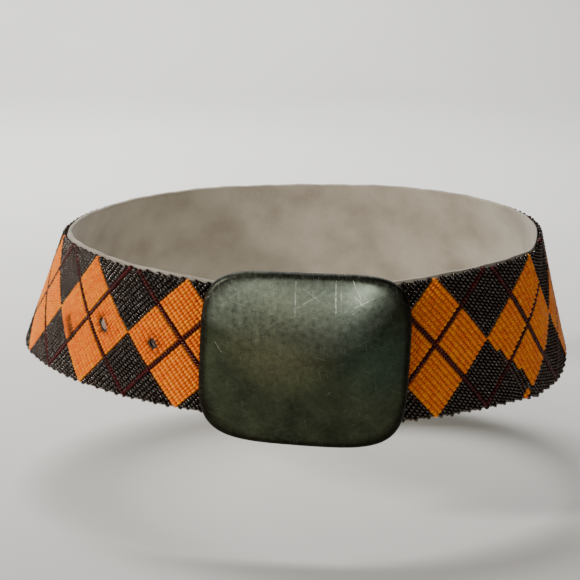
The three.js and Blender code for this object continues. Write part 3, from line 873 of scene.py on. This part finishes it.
class BELT_OT_thread_ground(bpy.types.Operator):
    """Web of dark thread that carries the beads and shows between them"""

    bl_idname = "belt.thread_ground"
    bl_label = "Thread Ground"

    def execute(self, context):
        sizes, plate, band, places = belt_layout(context.scene)
        thickness = 1.0 * MM
        edge = 1.0 * MM
        step = 2.0 * MM
        rows = 25
        depth = BEAD_THICKNESS - thickness / 2
        lengths = np.arange(places["start"] + edge, places["tip"] - edge, step)
        half = band_value(band, "half", lengths) - edge - end_inset(lengths, places, sizes, plate)
        shares = np.linspace(-1, 1, rows)
        heights = half[:, None] * shares
        along = np.repeat(lengths[:, None], len(shares), 1)
        grid = band_point(band, along, heights, np.full(heights.shape, depth))
        web = strap_sheet("thread_ground", grid, along, heights)
        turns = heights / band_value(band, "half", along) / 2
        phase = diamond_phase(along, places, sizes)
        inside = np.round(phase + turns) == np.round(phase - turns)
        for hole in [PEG_HOLE, *WORN_HOLES]:
            beside = along - hole_length(places, sizes, hole, turns=1)
            inside &= np.hypot(beside, heights + hole.drop) > hole.height / 2 + 1.2 * MM
        # Painted orange bounce light: the thread under the orange diamonds takes the warm colour that the
        # beads around it would throw onto it.
        warm = web.data.attributes.new("warm", "FLOAT", "POINT")
        warm.data.foreach_set("value", inside.T.ravel().astype(np.float32))
        apply_modifier(web, "SOLIDIFY", thickness=thickness, offset=0.0)
        tidy_normals(web)
        cut_hole(web, band, places["peg"], PEG_HOLE, 1.0)
        for hole in WORN_HOLES:
            cut_hole(web, band, hole_length(places, sizes, hole), hole, 0.9)
        colours = context.scene.belt_colours
        material = waxed_thread("Dark waxed thread", colours.thread, colours.thread_orange_bounce)
        finish_piece(web, material, BEAD_NODE)
        return {"FINISHED"}


def end_inset(lengths, places, sizes, plate):
    """How much narrower each half of the band is where it tapers to the bar and at its tip."""
    cover = smooth_step(lengths, places["start"], places["start"] + TAPER)
    inset = (1 - cover) * (sizes.band_width - plate.tab_width) / 2
    to_tip = np.clip(places["tip"] - lengths, 0, TIP_RADIUS)
    return inset + TIP_RADIUS - np.sqrt(TIP_RADIUS**2 - (TIP_RADIUS - to_tip) ** 2)


# A diamond is a square of the two diagonal counts, 18 rows a side: 8 above a line, which is one
# row wide, and 9 below it. The line is therefore half a row above the middle.
ROWS_A_SIDE = 18
BEADS_A_SIDE = 27
DIAMONDS_ROUND = 12
ORANGE, GUNMETAL, MAROON = 0, 1, 2


def diamond_phase(lengths, places, sizes):
    """Count of diamonds from the first one beside the fixed end, round the back to the free end."""
    from_right = lengths - sizes.first_right
    span = places["loop"] - sizes.first_left - sizes.first_right
    by_right = from_right / sizes.right_period
    by_left = DIAMONDS_ROUND - (span - from_right) / sizes.left_period
    share = smooth_step(from_right, 0.25 * span, 0.75 * span)
    return by_right + (by_left - by_right) * share


def bead_block(a_range, b_range, rows_by_a, colour):
    """Diagonal counts of a block of beads whose rows lie side by side along the first or the
    second count, whether they do so along the first, and their colour."""
    sides = [ROWS_A_SIDE, BEADS_A_SIDE] if rows_by_a else [BEADS_A_SIDE, ROWS_A_SIDE]
    spread = []
    for (low, high), per_side in zip((a_range, b_range), sides):
        count = max(round((high - low) * per_side), 1)
        spread.append(low + (high - low) * (np.arange(count) + 0.5) / count)
    a, b = [grid.ravel() for grid in np.meshgrid(*spread)]
    return np.stack([a, b, np.full(a.shape, rows_by_a), np.full(a.shape, colour)])


def bead_counts(first_cell, last_cell):
    """Diagonal counts of every bead, the way its row runs and its colour."""
    line = 1 / ROWS_A_SIDE
    cuts_a = (-0.5, 0.0, line, 0.5)
    cuts_b = (-0.5, -line, 0.0, 0.5)
    found = []
    for i in range(first_cell, last_cell + 1):
        for j in (i - 1, i, i + 1):
            for a_low, a_high in ((cuts_a[0], cuts_a[1]), (cuts_a[2], cuts_a[3])):
                a_range = (i + a_low, i + a_high)
                for b_low, b_high in ((cuts_b[0], cuts_b[1]), (cuts_b[2], cuts_b[3])):
                    b_range = (j + b_low, j + b_high)
                    found.append(bead_block(a_range, b_range, i == j, ORANGE if i == j else GUNMETAL))
                found.append(bead_block(a_range, (j + cuts_b[1], j + cuts_b[2]), False, MAROON))
            found.append(bead_block((i + cuts_a[1], i + cuts_a[2]), (j - 0.5, j + 0.5), True, MAROON))
    return np.concatenate(found, 1)


# The diamond that was worked short, counted from the one beside the fixed end.
SHORT_CELL = 1


def shorten_foot(a, b, colour):
    """The second diamond of the fixed side was worked short at its foot: gunmetal beads cut off
    its lower edge, and a few orange ones stand alone under its tip."""
    cell = SHORT_CELL
    from_left = b - (cell - 0.5)
    from_edge = a - (cell - 0.5)
    cut = (colour == ORANGE) & (np.abs(a - cell) < 0.5) & (np.abs(b - cell) < 0.5)
    cut &= from_edge < 2.9 / ROWS_A_SIDE * smooth_step(from_left, 0, 0.9)
    stray = (from_edge < 2 / ROWS_A_SIDE) & (from_left > 1 - 2.2 / BEADS_A_SIDE)
    return np.where(cut & ~stray, GUNMETAL, colour)


# How full the beads stand in their rows, how much they vary in size, lean and place, and the
# seeds of what is left to chance.
FILL_ACROSS = 1.03
FILL_ALONG = 0.96
UNEVEN = 0.03
LEAN = 0.05
JITTER = 0.05 * MM
BEAD_SEED = 11
STITCH_SEED = 5


class BELT_OT_seed_beads(bpy.types.Operator):
    """Seed beads strung along the diagonals: orange diamonds, gunmetal ground and maroon lines"""

    bl_idname = "belt.seed_beads"
    bl_label = "Seed Beads"

    def execute(self, context):
        sizes, plate, band, places = belt_layout(context.scene)
        colours = context.scene.belt_colours
        table = np.arange(places["start"] - 5 * MM, places["tip"] + 5 * MM, 0.5 * MM)
        phases = diamond_phase(table, places, sizes)
        a, b, by_a, colour = bead_counts(-2, DIAMONDS_ROUND + 2)
        colour = shorten_foot(a, b, colour)

        def place(a, b):
            length = np.interp((a + b) / 2, phases, table)
            half = band_value(band, "half", length) + 0.05 * sizes.bead_diameter
            return length, (a - b) * half

        length, height = place(a, b)
        phase = (a + b) / 2
        half = band_value(band, "half", length) - end_inset(length, places, sizes, plate)
        keep = (phase > phases[0]) & (phase < phases[-1])
        keep &= np.abs(height) <= half - 0.25 * sizes.bead_diameter
        keep &= length > places["start"] + 0.5 * sizes.bead_diameter
        keep &= length < places["tip"] - 0.5 * sizes.bead_diameter
        worn = np.zeros(len(a))
        shift_along = np.zeros(len(a))
        shift_up = np.zeros(len(a))
        for hole in [PEG_HOLE, *WORN_HOLES]:
            turn = math.radians(hole.tilt)
            x = length - hole_length(places, sizes, hole, turns=1)
            y = height + hole.drop
            across = x * math.cos(turn) + y * math.sin(turn)
            high = -x * math.sin(turn) + y * math.cos(turn)
            stretch = max(hole.height - hole.width, 0) / 2
            high = np.sign(high) * np.maximum(np.abs(high) - stretch, 0)
            off = np.maximum(np.hypot(across, high), 1e-6)
            push = 0.45 * hole.width * np.exp(-off / (1.2 * sizes.bead_diameter))
            shift_along += push * (across * math.cos(turn) - high * math.sin(turn)) / off
            shift_up += push * (across * math.sin(turn) + high * math.cos(turn)) / off
            if hole.width > sizes.bead_diameter:
                keep &= off + push > hole.width / 2 + 0.3 * sizes.bead_diameter
            rim = np.maximum(off - hole.width / 2, 0)
            worn = np.maximum(worn, np.exp(-rim / (0.9 * sizes.bead_diameter)))
        a, b, by_a, colour, length, height, worn, shift_along, shift_up = (
            v[keep] for v in (a, b, by_a, colour, length, height, worn, shift_along, shift_up)
        )
        step = 0.01
        ahead = place(a + step * (1 - by_a), b + step * by_a)
        behind = place(a - step * (1 - by_a), b - step * by_a)
        middle = np.full(len(a), BEAD_THICKNESS / 2)
        run = band_point(band, *ahead, middle) - band_point(band, *behind, middle)
        over = band_point(band, *place(a + step * by_a, b + step * (1 - by_a)), middle)
        over = over - band_point(band, length, height, middle)
        bead_pitch = np.linalg.norm(run, axis=1) / (2 * step * BEADS_A_SIDE)
        row_pitch = np.linalg.norm(np.cross(unit(run), over), axis=1) / (step * ROWS_A_SIDE)
        rng = np.random.default_rng(BEAD_SEED)
        count = len(a)
        out = unit(band_value(band, "out", length))
        run = unit(unit(run) + LEAN * rng.standard_normal((count, 3)))
        side = unit(np.cross(out, run))
        out = unit(np.cross(run, side))
        jitter = JITTER * rng.standard_normal((count, 3))
        centre = band_point(band, length + shift_along, height + shift_up, middle) + jitter
        girth = FILL_ACROSS * row_pitch / sizes.bead_diameter * (1 + UNEVEN * rng.standard_normal(count))
        stretch = FILL_ALONG * bead_pitch / sizes.bead_length * (1 + UNEVEN * rng.standard_normal(count))
        placing = np.empty((count, 3, 4))
        placing[:, :, 0] = side * girth[:, None]
        placing[:, :, 1] = out * np.minimum(girth, 1)[:, None]
        placing[:, :, 2] = run * stretch[:, None]
        placing[:, :, 3] = centre
        # Beads near a hole get a shade below zero: soil, and painted shade where the rows part at a closed
        # slit.
        shade = np.clip(0.5 + 0.28 * rng.standard_normal(count), 0, 1) - 1.3 * worn
        pattern = bead_pattern(sizes)
        halfway = (places["start"] + places["tip"]) / 2
        groups = [
            ("orange_beads_right", ORANGE, length < halfway),
            ("orange_beads_left", ORANGE, length >= halfway),
            ("gunmetal_beads_right", GUNMETAL, length < halfway),
            ("gunmetal_beads_left", GUNMETAL, length >= halfway),
            ("maroon_beads", MAROON, length > 0),
        ]
        shades = {
            ORANGE: ("Opaque orange glass", colours.orange, colours.orange_deep, 0.35, 1.35),
            GUNMETAL: ("Gunmetal glass", colours.gunmetal, colours.gunmetal_warm, 0.08, 1.5),
            MAROON: ("Opaque maroon glass", colours.maroon, colours.maroon_deep, 0.2, 1.35),
        }
        films = {GUNMETAL: colours.gunmetal_edge}
        finishes = {kind: seed_bead_glass(*shades[kind], films.get(kind)) for kind in shades}
        for name, kind, area in groups:
            chosen = (colour == kind) & area
            beads = joined_copies(name, pattern.data, placing[chosen], shade[chosen])
            finish_piece(beads, finishes[kind], BEAD_NODE, angle=60)
        bpy.data.objects.remove(pattern)
        return {"FINISHED"}


def bead_pattern(sizes):
    """One seed bead: a short drum with rounded rims, lying along Z."""
    bpy.ops.object.select_all(action="DESELECT")
    bpy.ops.mesh.primitive_cylinder_add(
        vertices=8, radius=sizes.bead_diameter / 2, depth=sizes.bead_length, end_fill_type="NGON"
    )
    bead = bpy.context.object
    bead.name = "bead_pattern"
    bpy.ops.object.mode_set(mode="EDIT")
    edit_selection(bead, "EDGE", lambda e: abs(e.verts[0].co.z - e.verts[1].co.z) < 1e-6)
    bpy.ops.mesh.bevel(offset=0.42 * MM, segments=1, profile=0.5)
    bpy.ops.object.mode_set(mode="OBJECT")
    return bead


class BELT_OT_backing_stitches(bpy.types.Operator):
    """Short stitches inside the leather, which hold the beaded face along its two edges"""

    bl_idname = "belt.backing_stitches"
    bl_label = "Backing Stitches"

    def execute(self, context):
        sizes, plate, band, places = belt_layout(context.scene)
        spacing = 4.0 * MM
        edge = 2.6 * MM
        depth = BEAD_THICKNESS + LAYER_GAP + sizes.leather_thickness + 0.05 * MM
        stitch = new_round("cylinder", vertices=6, radius=0.3 * MM, depth=2.6 * MM)
        bpy.ops.object.mode_set(mode="EDIT")
        edit_selection(stitch, "FACE", lambda f: abs(f.normal.z) > 0.9)
        bpy.ops.transform.resize(value=(0.5, 0.5, 1.0))
        bpy.ops.mesh.select_all(action="SELECT")
        bpy.ops.mesh.subdivide(number_cuts=1)
        bpy.ops.object.mode_set(mode="OBJECT")
        for vertex in stitch.data.vertices:
            share = abs(vertex.co.z) / (1.3 * MM)
            vertex.co.y -= 0.35 * MM * share**2
        rng = np.random.default_rng(STITCH_SEED)
        clear = plate.tab_width
        lengths = np.arange(places["start"] + clear, places["tip"] - 2 * spacing, spacing)
        placings = []
        for side in (-1, 1):
            height = side * (band_value(band, "half", lengths) - edge)
            height = height + 0.15 * MM * rng.standard_normal(len(lengths))
            centre = band_point(band, lengths, height, np.full(len(lengths), depth))
            along = unit(band_value(band, "along", lengths))
            inward = -unit(band_value(band, "out", lengths))
            up = unit(band_value(band, "up", lengths))
            run = unit(along + up * (0.14 + 0.05 * rng.standard_normal(len(lengths)))[:, None])
            placing = np.empty((len(lengths), 3, 4))
            placing[:, :, 1] = inward
            placing[:, :, 2] = run
            placing[:, :, 0] = unit(np.cross(inward, run))
            placing[:, :, 3] = centre
            placings.append(placing)
        placing = np.concatenate(placings)
        shade = rng.random(len(placing))
        stitches = joined_copies("backing_stitches", stitch.data, placing, shade)
        bpy.data.objects.remove(stitch)
        tidy_normals(stitches)
        colours = context.scene.belt_colours
        material = waxed_thread("Undyed linen thread", colours.stitch, colours.stitch)
        finish_piece(stitches, material, BACKING_NODE, angle=60)
        return {"FINISHED"}


# The plate's own surfaces


def plate_seat(plate):
    """How far in front of the origin the plate's back edge stands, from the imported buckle."""
    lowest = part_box(BUCKLE_NODE)[0]
    return -lowest[1] - plate.edge_depth - plate.dome


def edge_line(plate, x):
    return plate.bow * ((x - plate.centre_x) / (plate.width / 2)) ** 2


def dome_lift(plate, share):
    return plate.edge_depth + plate.dome * (1 - share**2.3)


def rounded_share(share, oval):
    """A share of the way out to the square outline, turned oval towards the plate's middle."""
    return oval + (share - oval) * share**2


def plate_point(plate, seat, across, high, lift):
    high = high * (1 + plate.taper * across / (plate.width / 2))
    x = plate.centre_x + across * math.cos(plate.tilt) - high * math.sin(plate.tilt)
    z = plate.centre_z + across * math.sin(plate.tilt) + high * math.cos(plate.tilt)
    return (x, edge_line(plate, x) - seat - lift, z)


def underside_y(plate, seat, x, z):
    """Y of the plate's inner face behind a place."""
    dx, dz = x - plate.centre_x, z - plate.centre_z
    across = dx * math.cos(plate.tilt) + dz * math.sin(plate.tilt)
    high = -dx * math.sin(plate.tilt) + dz * math.cos(plate.tilt)
    u = abs(across / (plate.width / 2 - plate.edge_radius))
    high = high / (1 + plate.taper * across / (plate.width / 2))
    v = abs(high / (plate.height / 2 - plate.edge_radius))
    share = (u**plate.squareness + v**plate.squareness) ** (1 / plate.squareness)
    share = rounded_share(min(share, 1), math.hypot(u, v))
    return edge_line(plate, x) - seat - dome_lift(plate, share) + plate.wall


Ring = namedtuple("Ring", "share inset lift")


def plate_rings(plate):
    """Rings of the shell from the middle of its face, over the rim, to the middle of its back."""
    shares = np.linspace(0.05, 1, 22)
    rings = [Ring(s, plate.edge_radius * s, dome_lift(plate, s)) for s in shares]
    for angle in np.radians([15, 30, 45, 60, 75, 90]):
        inset = plate.edge_radius * (1 - math.sin(angle))
        lift = plate.edge_depth - plate.edge_radius * (1 - math.cos(angle))
        rings.append(Ring(1, inset, lift))
    soft = 0.4 * plate.wall
    rings += [
        Ring(1, 0, soft),
        Ring(1, 0.3 * soft, 0.3 * soft),
        Ring(1, soft, 0),
        Ring(1, plate.wall - soft, 0),
        Ring(1, plate.wall - 0.3 * soft, 0.3 * soft),
        Ring(1, plate.wall, soft),
        Ring(1, plate.wall, plate.edge_depth - plate.edge_radius),
    ]
    inner = plate.edge_radius + plate.wall / 2
    rings += [Ring(s, inner * s, dome_lift(plate, s) - plate.wall) for s in shares[::-1]]
    return rings


PLATE_SIDES = 112


class BELT_OT_buckle_plate(bpy.types.Operator):
    """Domed plate of aged brass, with its edge turned back all round"""

    bl_idname = "belt.buckle_plate"
    bl_label = "Buckle Plate"

    def execute(self, context):
        plate = context.scene.belt_plate
        seat = plate_seat(plate)
        rings = plate_rings(plate)
        shell = new_round("circle", vertices=PLATE_SIDES, radius=1.0, fill_type="NOTHING")
        shell.name = "buckle_plate"
        bpy.ops.object.mode_set(mode="EDIT")
        bpy.ops.mesh.select_all(action="SELECT")
        for number in range(1, len(rings)):
            grow = (number + 1) / number
            bpy.ops.mesh.extrude_edges_move()
            bpy.ops.transform.resize(value=(grow, grow, 1.0), center_override=(0.0, 0.0, 0.0))
        bpy.ops.object.mode_set(mode="OBJECT")
        power = 2 / plate.squareness
        for vertex in shell.data.vertices:
            flat_radius = math.hypot(vertex.co.x, vertex.co.y)
            ring = rings[round(flat_radius) - 1]
            c, s = vertex.co.x / flat_radius, vertex.co.y / flat_radius
            across = (plate.width / 2 * ring.share - ring.inset) * math.copysign(abs(c) ** power, c)
            high = (plate.height / 2 * ring.share - ring.inset) * math.copysign(abs(s) ** power, s)
            dent = sum(
                d.depth * math.exp(-((across - d.across) ** 2 + (high - d.high) ** 2) / d.spread**2)
                for d in PLATE_DENTS
            )
            inner = min(1.0, 4 * (1 - ring.share))
            oval = ring.share * math.hypot(abs(c) ** power, abs(s) ** power)
            fall = dome_lift(plate, ring.share) - dome_lift(plate, rounded_share(ring.share, oval))
            vertex.co = plate_point(plate, seat, across, high, ring.lift - fall - dent * inner)
        bpy.ops.object.mode_set(mode="EDIT")
        bpy.ops.mesh.select_mode(type="EDGE")
        bpy.ops.mesh.select_all(action="DESELECT")
        bpy.ops.mesh.select_non_manifold(extend=False)
        bpy.ops.mesh.fill_holes(sides=PLATE_SIDES)
        bpy.ops.mesh.select_mode(type="FACE")
        edit_selection(shell, "FACE", lambda f: len(f.verts) > 4)
        bpy.ops.mesh.poke()
        bpy.ops.object.mode_set(mode="OBJECT")
        tidy_normals(shell)
        self.mark_rim(shell, plate, seat)
        material = aged_brass("Aged sheet brass", context.scene.belt_colours, plate)
        finish_piece(shell, material, BUCKLE_NODE, angle=50)
        return {"FINISHED"}

    def mark_rim(self, shell, plate, seat):
        """Write how far each vertex has turned over the rim, for the finish to paint the rim's dark
        reflection.
        """
        points = np.empty(len(shell.data.vertices) * 3)
        shell.data.vertices.foreach_get("co", points)
        x, y = points.reshape(-1, 3).T[:2]
        lift = edge_line(plate, x) - seat - y
        fall = (dome_lift(plate, 1) - lift) / plate.edge_radius
        rim = shell.data.attributes.new("rim", "FLOAT", "POINT")
        rim.data.foreach_set("value", smooth_step(fall, -0.5, 0.0).astype(np.float32))


# Rounding of the bar's corners and of the peg's end, and how far the peg goes through the leather.
BAR_CORNER = 4 * MM
PEG_ROUND = 0.6 * MM
PEG_THROUGH = 1.8 * MM


class BELT_OT_buckle_fastening(bpy.types.Operator):
    """Bar on two legs and round peg, soldered behind the plate"""

    bl_idname = "belt.buckle_fastening"
    bl_label = "Buckle Fastening"

    def execute(self, context):
        sizes, plate, band, places = belt_layout(context.scene)
        seat = plate_seat(plate)
        inside = BEAD_THICKNESS + LAYER_GAP + sizes.leather_thickness
        bar_depth = inside + BAR_CLEARANCE + plate.rod / 2
        reach = plate.tab_width / 2 + 1.5 * MM + plate.rod / 2
        material = rod_brass("Drawn brass rod", context.scene.belt_colours)
        here = np.full(2, places["bar"])
        corners = band_point(band, here, np.array([reach, -reach]), np.full(2, bar_depth))
        feet = [Vector((c[0], underside_y(plate, seat, c[0], c[2]) - plate.wall / 2, c[2])) for c in corners]
        route = [feet[0], Vector(corners[0]), Vector(corners[1]), feet[1]]
        bar = bent_rod("buckle_bar", route, BAR_CORNER, plate.rod)
        finish_piece(bar, material, BUCKLE_NODE, angle=50)
        at = np.array([places["peg"]])
        end = Vector(band_point(band, at, np.zeros(1), np.full(1, inside + PEG_THROUGH))[0])
        out = Vector(band_value(band, "out", at)[0]).normalized()
        root = underside_y(plate, seat, end.x, end.z) - plate.wall / 2
        length = abs((end.y - root) / out.y)
        peg = new_round("cylinder", vertices=28, radius=plate.rod / 2, depth=length)
        peg.name = "buckle_peg"
        bpy.ops.object.mode_set(mode="EDIT")
        edit_selection(peg, "FACE", lambda f: f.normal.z < -0.9)
        bpy.ops.mesh.bevel(offset=PEG_ROUND, segments=3)
        bpy.ops.object.mode_set(mode="OBJECT")
        turn = Vector((0, 0, 1)).rotation_difference(out).to_matrix().to_4x4()
        peg.data.transform(Matrix.Translation(end + out * (length / 2)) @ turn)
        peg.data.update()
        finish_piece(peg, material, BUCKLE_NODE, angle=50)
        return {"FINISHED"}


def rod_brass(name, colours):
    """Drawn brass rod, dulled: smoother and a little yellower than the plate."""
    material, tree, shader = new_material(name)
    tarnish = ranged(tree, noise(tree, object_place(tree), 4 * MM, 4.0), 0.35, 0.7)
    base = mixed(tree, tarnish, tuple(colours.brass_rod), tuple(colours.brass_dark))
    satin = ranged(tree, tarnish, 0.0, 1.0, 0.3, 0.5)
    feed(tree, shader, {"Base Color": base, "Metallic": 1.0, "Roughness": satin})
    return material


def bent_rod(name, points, bend, diameter):
    """Round rod through points, with rounded corners, as a closed mesh."""
    route = [points[0]]
    steps = 8
    for before, corner, after in zip(points, points[1:], points[2:]):
        start = corner + (before - corner).normalized() * bend
        end = corner + (after - corner).normalized() * bend
        for i in range(steps + 1):
            t = i / steps
            route.append(start * (1 - t) ** 2 + corner * 2 * t * (1 - t) + end * t**2)
    route.append(points[-1])
    curve = bpy.data.curves.new(name, "CURVE")
    curve.dimensions = "3D"
    curve.bevel_depth = diameter / 2
    curve.bevel_resolution = 4
    curve.use_fill_caps = True
    line = curve.splines.new("POLY")
    line.points.add(len(route) - 1)
    for point, place in zip(line.points, route):
        point.co = (*place, 1.0)
    rod = bpy.data.objects.new(name, curve)
    bpy.context.collection.objects.link(rod)
    only(rod)
    bpy.ops.object.convert(target="MESH")
    tidy_normals(rod)
    return rod


# The stage

# The camera, as found by laying the belt over the photograph: focal length in millimetres,
# distance, slopes down and to the side, and the place that it looks at.
FOCAL = 98.6
CAMERA_DISTANCE = 646.5 * MM
CAMERA_PITCH = math.radians(13.1)
CAMERA_YAW = math.radians(-1.2)
CAMERA_TARGET = Vector((-1.9 * MM, -90 * MM, 22.8 * MM))

# The floor's two sizes, how far its middle lies behind the belt's and how far it lies below the
# belt, then the bend and the height of the wall behind.
FLOOR_SIZES = (3.0, 2.3)
FLOOR_BEHIND = 0.45
FLOOR_BELOW = 45 * MM
WALL_BEND = 0.5
WALL_HEIGHT = 2.0

# Area lights: width, height and power in watts, and the spread of their beam in degrees.
Lamp = namedtuple("Lamp", "name place target width height power colour spread")
LAMPS = [
    Lamp("front_window", (-0.4, -1.7, 0.66), (0.0, -0.1, 0.0), 2.8, 0.75, 5.2, (1.0, 0.99, 0.97), 180),
    Lamp("left_key", (-1.35, -0.85, 0.7), (0.0, -0.05, 0.0), 0.22, 0.22, 24, (1.0, 0.97, 0.93), 180),
    Lamp("right_glint", (0.75, -1.4, 0.5), (0.0, -0.1, 0.0), 0.1, 0.1, 1.8, (1.0, 1.0, 1.0), 180),
    Lamp("back_wash", (-0.5, 0.5, 1.4), (-0.35, 1.5, -0.1), 1.0, 0.4, 36, (1.0, 1.0, 1.0), 135),
]

# The room's light on the belt, and how bright it looks where the floor ends.
ROOM_COLOUR = (0.85, 0.88, 0.92, 1.0)
ROOM_LIGHT = 0.06
ROOM_SEEN = 0.7


class BELT_OT_studio_stage(bpy.types.Operator):
    """Plain pale floor, soft studio lights and the camera"""

    bl_idname = "belt.studio_stage"
    bl_label = "Studio Stage"

    def execute(self, context):
        colours = context.scene.belt_colours
        bpy.ops.object.select_all(action="DESELECT")
        bpy.ops.mesh.primitive_plane_add(size=1.0)
        floor = bpy.context.object
        floor.name = "floor"
        floor.data.transform(Matrix.Diagonal((*FLOOR_SIZES, 1.0, 1.0)))
        floor.data.transform(Matrix.Translation((0.0, FLOOR_BEHIND, CAD_BOX[0][2] - FLOOR_BELOW)))
        back = floor.data.vertices[2].co.y
        level = floor.data.vertices[2].co.z
        bpy.ops.object.mode_set(mode="EDIT")
        edit_selection(floor, "EDGE", lambda e: min(v.co.y for v in e.verts) > back - 1e-4)
        hinge = (0.0, back, level + WALL_BEND)
        bpy.ops.mesh.spin(steps=16, angle=-0.5 * math.pi, center=hinge, axis=(1.0, 0.0, 0.0))
        bpy.ops.mesh.extrude_edges_move(TRANSFORM_OT_translate={"value": (0.0, 0.0, WALL_HEIGHT)})
        bpy.ops.object.mode_set(mode="OBJECT")
        floor.data.materials.append(matt_paint("Matt pale paint", colours.floor))
        bpy.ops.object.shade_smooth_by_angle(angle=math.radians(40))
        for lamp in LAMPS:
            self.add_light(lamp)
        self.add_room(context)
        data = bpy.data.cameras.new("camera")
        camera = bpy.data.objects.new("camera", data)
        context.collection.objects.link(camera)
        ahead = Vector(
            (
                math.cos(CAMERA_PITCH) * math.sin(CAMERA_YAW),
                math.cos(CAMERA_PITCH) * math.cos(CAMERA_YAW),
                -math.sin(CAMERA_PITCH),
            )
        )
        camera.location = CAMERA_TARGET - ahead * CAMERA_DISTANCE
        camera.rotation_euler = ahead.to_track_quat("-Z", "Y").to_euler()
        data.lens = FOCAL
        data.sensor_width = 36.0
        data.clip_start = 0.01
        context.scene.camera = camera
        return {"FINISHED"}

    def add_room(self, context):
        """The room beyond the floor: it gives little light, but looks as pale as the floor."""
        world = bpy.data.worlds.new("Soft grey room")
        context.scene.world = world
        world.use_nodes = True
        tree = world.node_tree
        dim = tree.nodes["Background"]
        feed(tree, dim, {"Color": ROOM_COLOUR, "Strength": ROOM_LIGHT})
        pale = add_node(tree, "ShaderNodeBackground", {"Color": ROOM_COLOUR, "Strength": ROOM_SEEN})
        seen = add_node(tree, "ShaderNodeLightPath").outputs["Is Camera Ray"]
        both = add_node(tree, "ShaderNodeMixShader", {0: seen, 1: dim.outputs[0], 2: pale.outputs[0]})
        tree.links.new(both.outputs[0], tree.nodes["World Output"].inputs["Surface"])

    def add_light(self, lamp):
        data = bpy.data.lights.new(lamp.name, "AREA")
        data.shape = "RECTANGLE"
        data.size = lamp.width
        data.size_y = lamp.height
        data.energy = lamp.power
        data.color = lamp.colour
        data.spread = math.radians(lamp.spread)
        light = bpy.data.objects.new(lamp.name, data)
        bpy.context.collection.objects.link(light)
        light.location = lamp.place
        way = Vector(lamp.target) - Vector(lamp.place)
        light.rotation_euler = way.to_track_quat("-Z", "Y").to_euler()


class BELT_PT_parts(bpy.types.Panel):
    """Buttons for each piece of the belt, with its sizes and colours"""

    bl_label = "Beaded Belt"
    bl_idname = "BELT_PT_parts"
    bl_space_type = "VIEW_3D"
    bl_region_type = "UI"
    bl_category = "Belt"

    def draw(self, context):
        layout = self.layout
        for operator in STEPS:
            layout.operator(operator.bl_idname)
        for group in (context.scene.belt_sizes, context.scene.belt_plate, context.scene.belt_colours):
            box = layout.box()
            for key in group.bl_rna.properties.keys():
                if key not in ("rna_type", "name"):
                    box.prop(group, key)


STEPS = [
    BELT_OT_leather_backing,
    BELT_OT_thread_ground,
    BELT_OT_seed_beads,
    BELT_OT_backing_stitches,
    BELT_OT_buckle_plate,
    BELT_OT_buckle_fastening,
    BELT_OT_studio_stage,
]
GROUPS = {"belt_sizes": BeltSizes, "belt_plate": PlateSizes, "belt_colours": BeltColours}


def register():
    for group in GROUPS.values():
        bpy.utils.register_class(group)
    for name, group in GROUPS.items():
        setattr(bpy.types.Scene, name, bpy.props.PointerProperty(type=group))
    for operator in STEPS:
        bpy.utils.register_class(operator)
    bpy.utils.register_class(BELT_PT_parts)


def unregister():
    bpy.utils.unregister_class(BELT_PT_parts)
    for operator in reversed(STEPS):
        bpy.utils.unregister_class(operator)
    for name, group in GROUPS.items():
        delattr(bpy.types.Scene, name)
        bpy.utils.unregister_class(group)


def main():
    register()
    for operator in STEPS:
        group, name = operator.bl_idname.split(".")
        getattr(getattr(bpy.ops, group), name)()


if __name__ == "__main__":
    main()
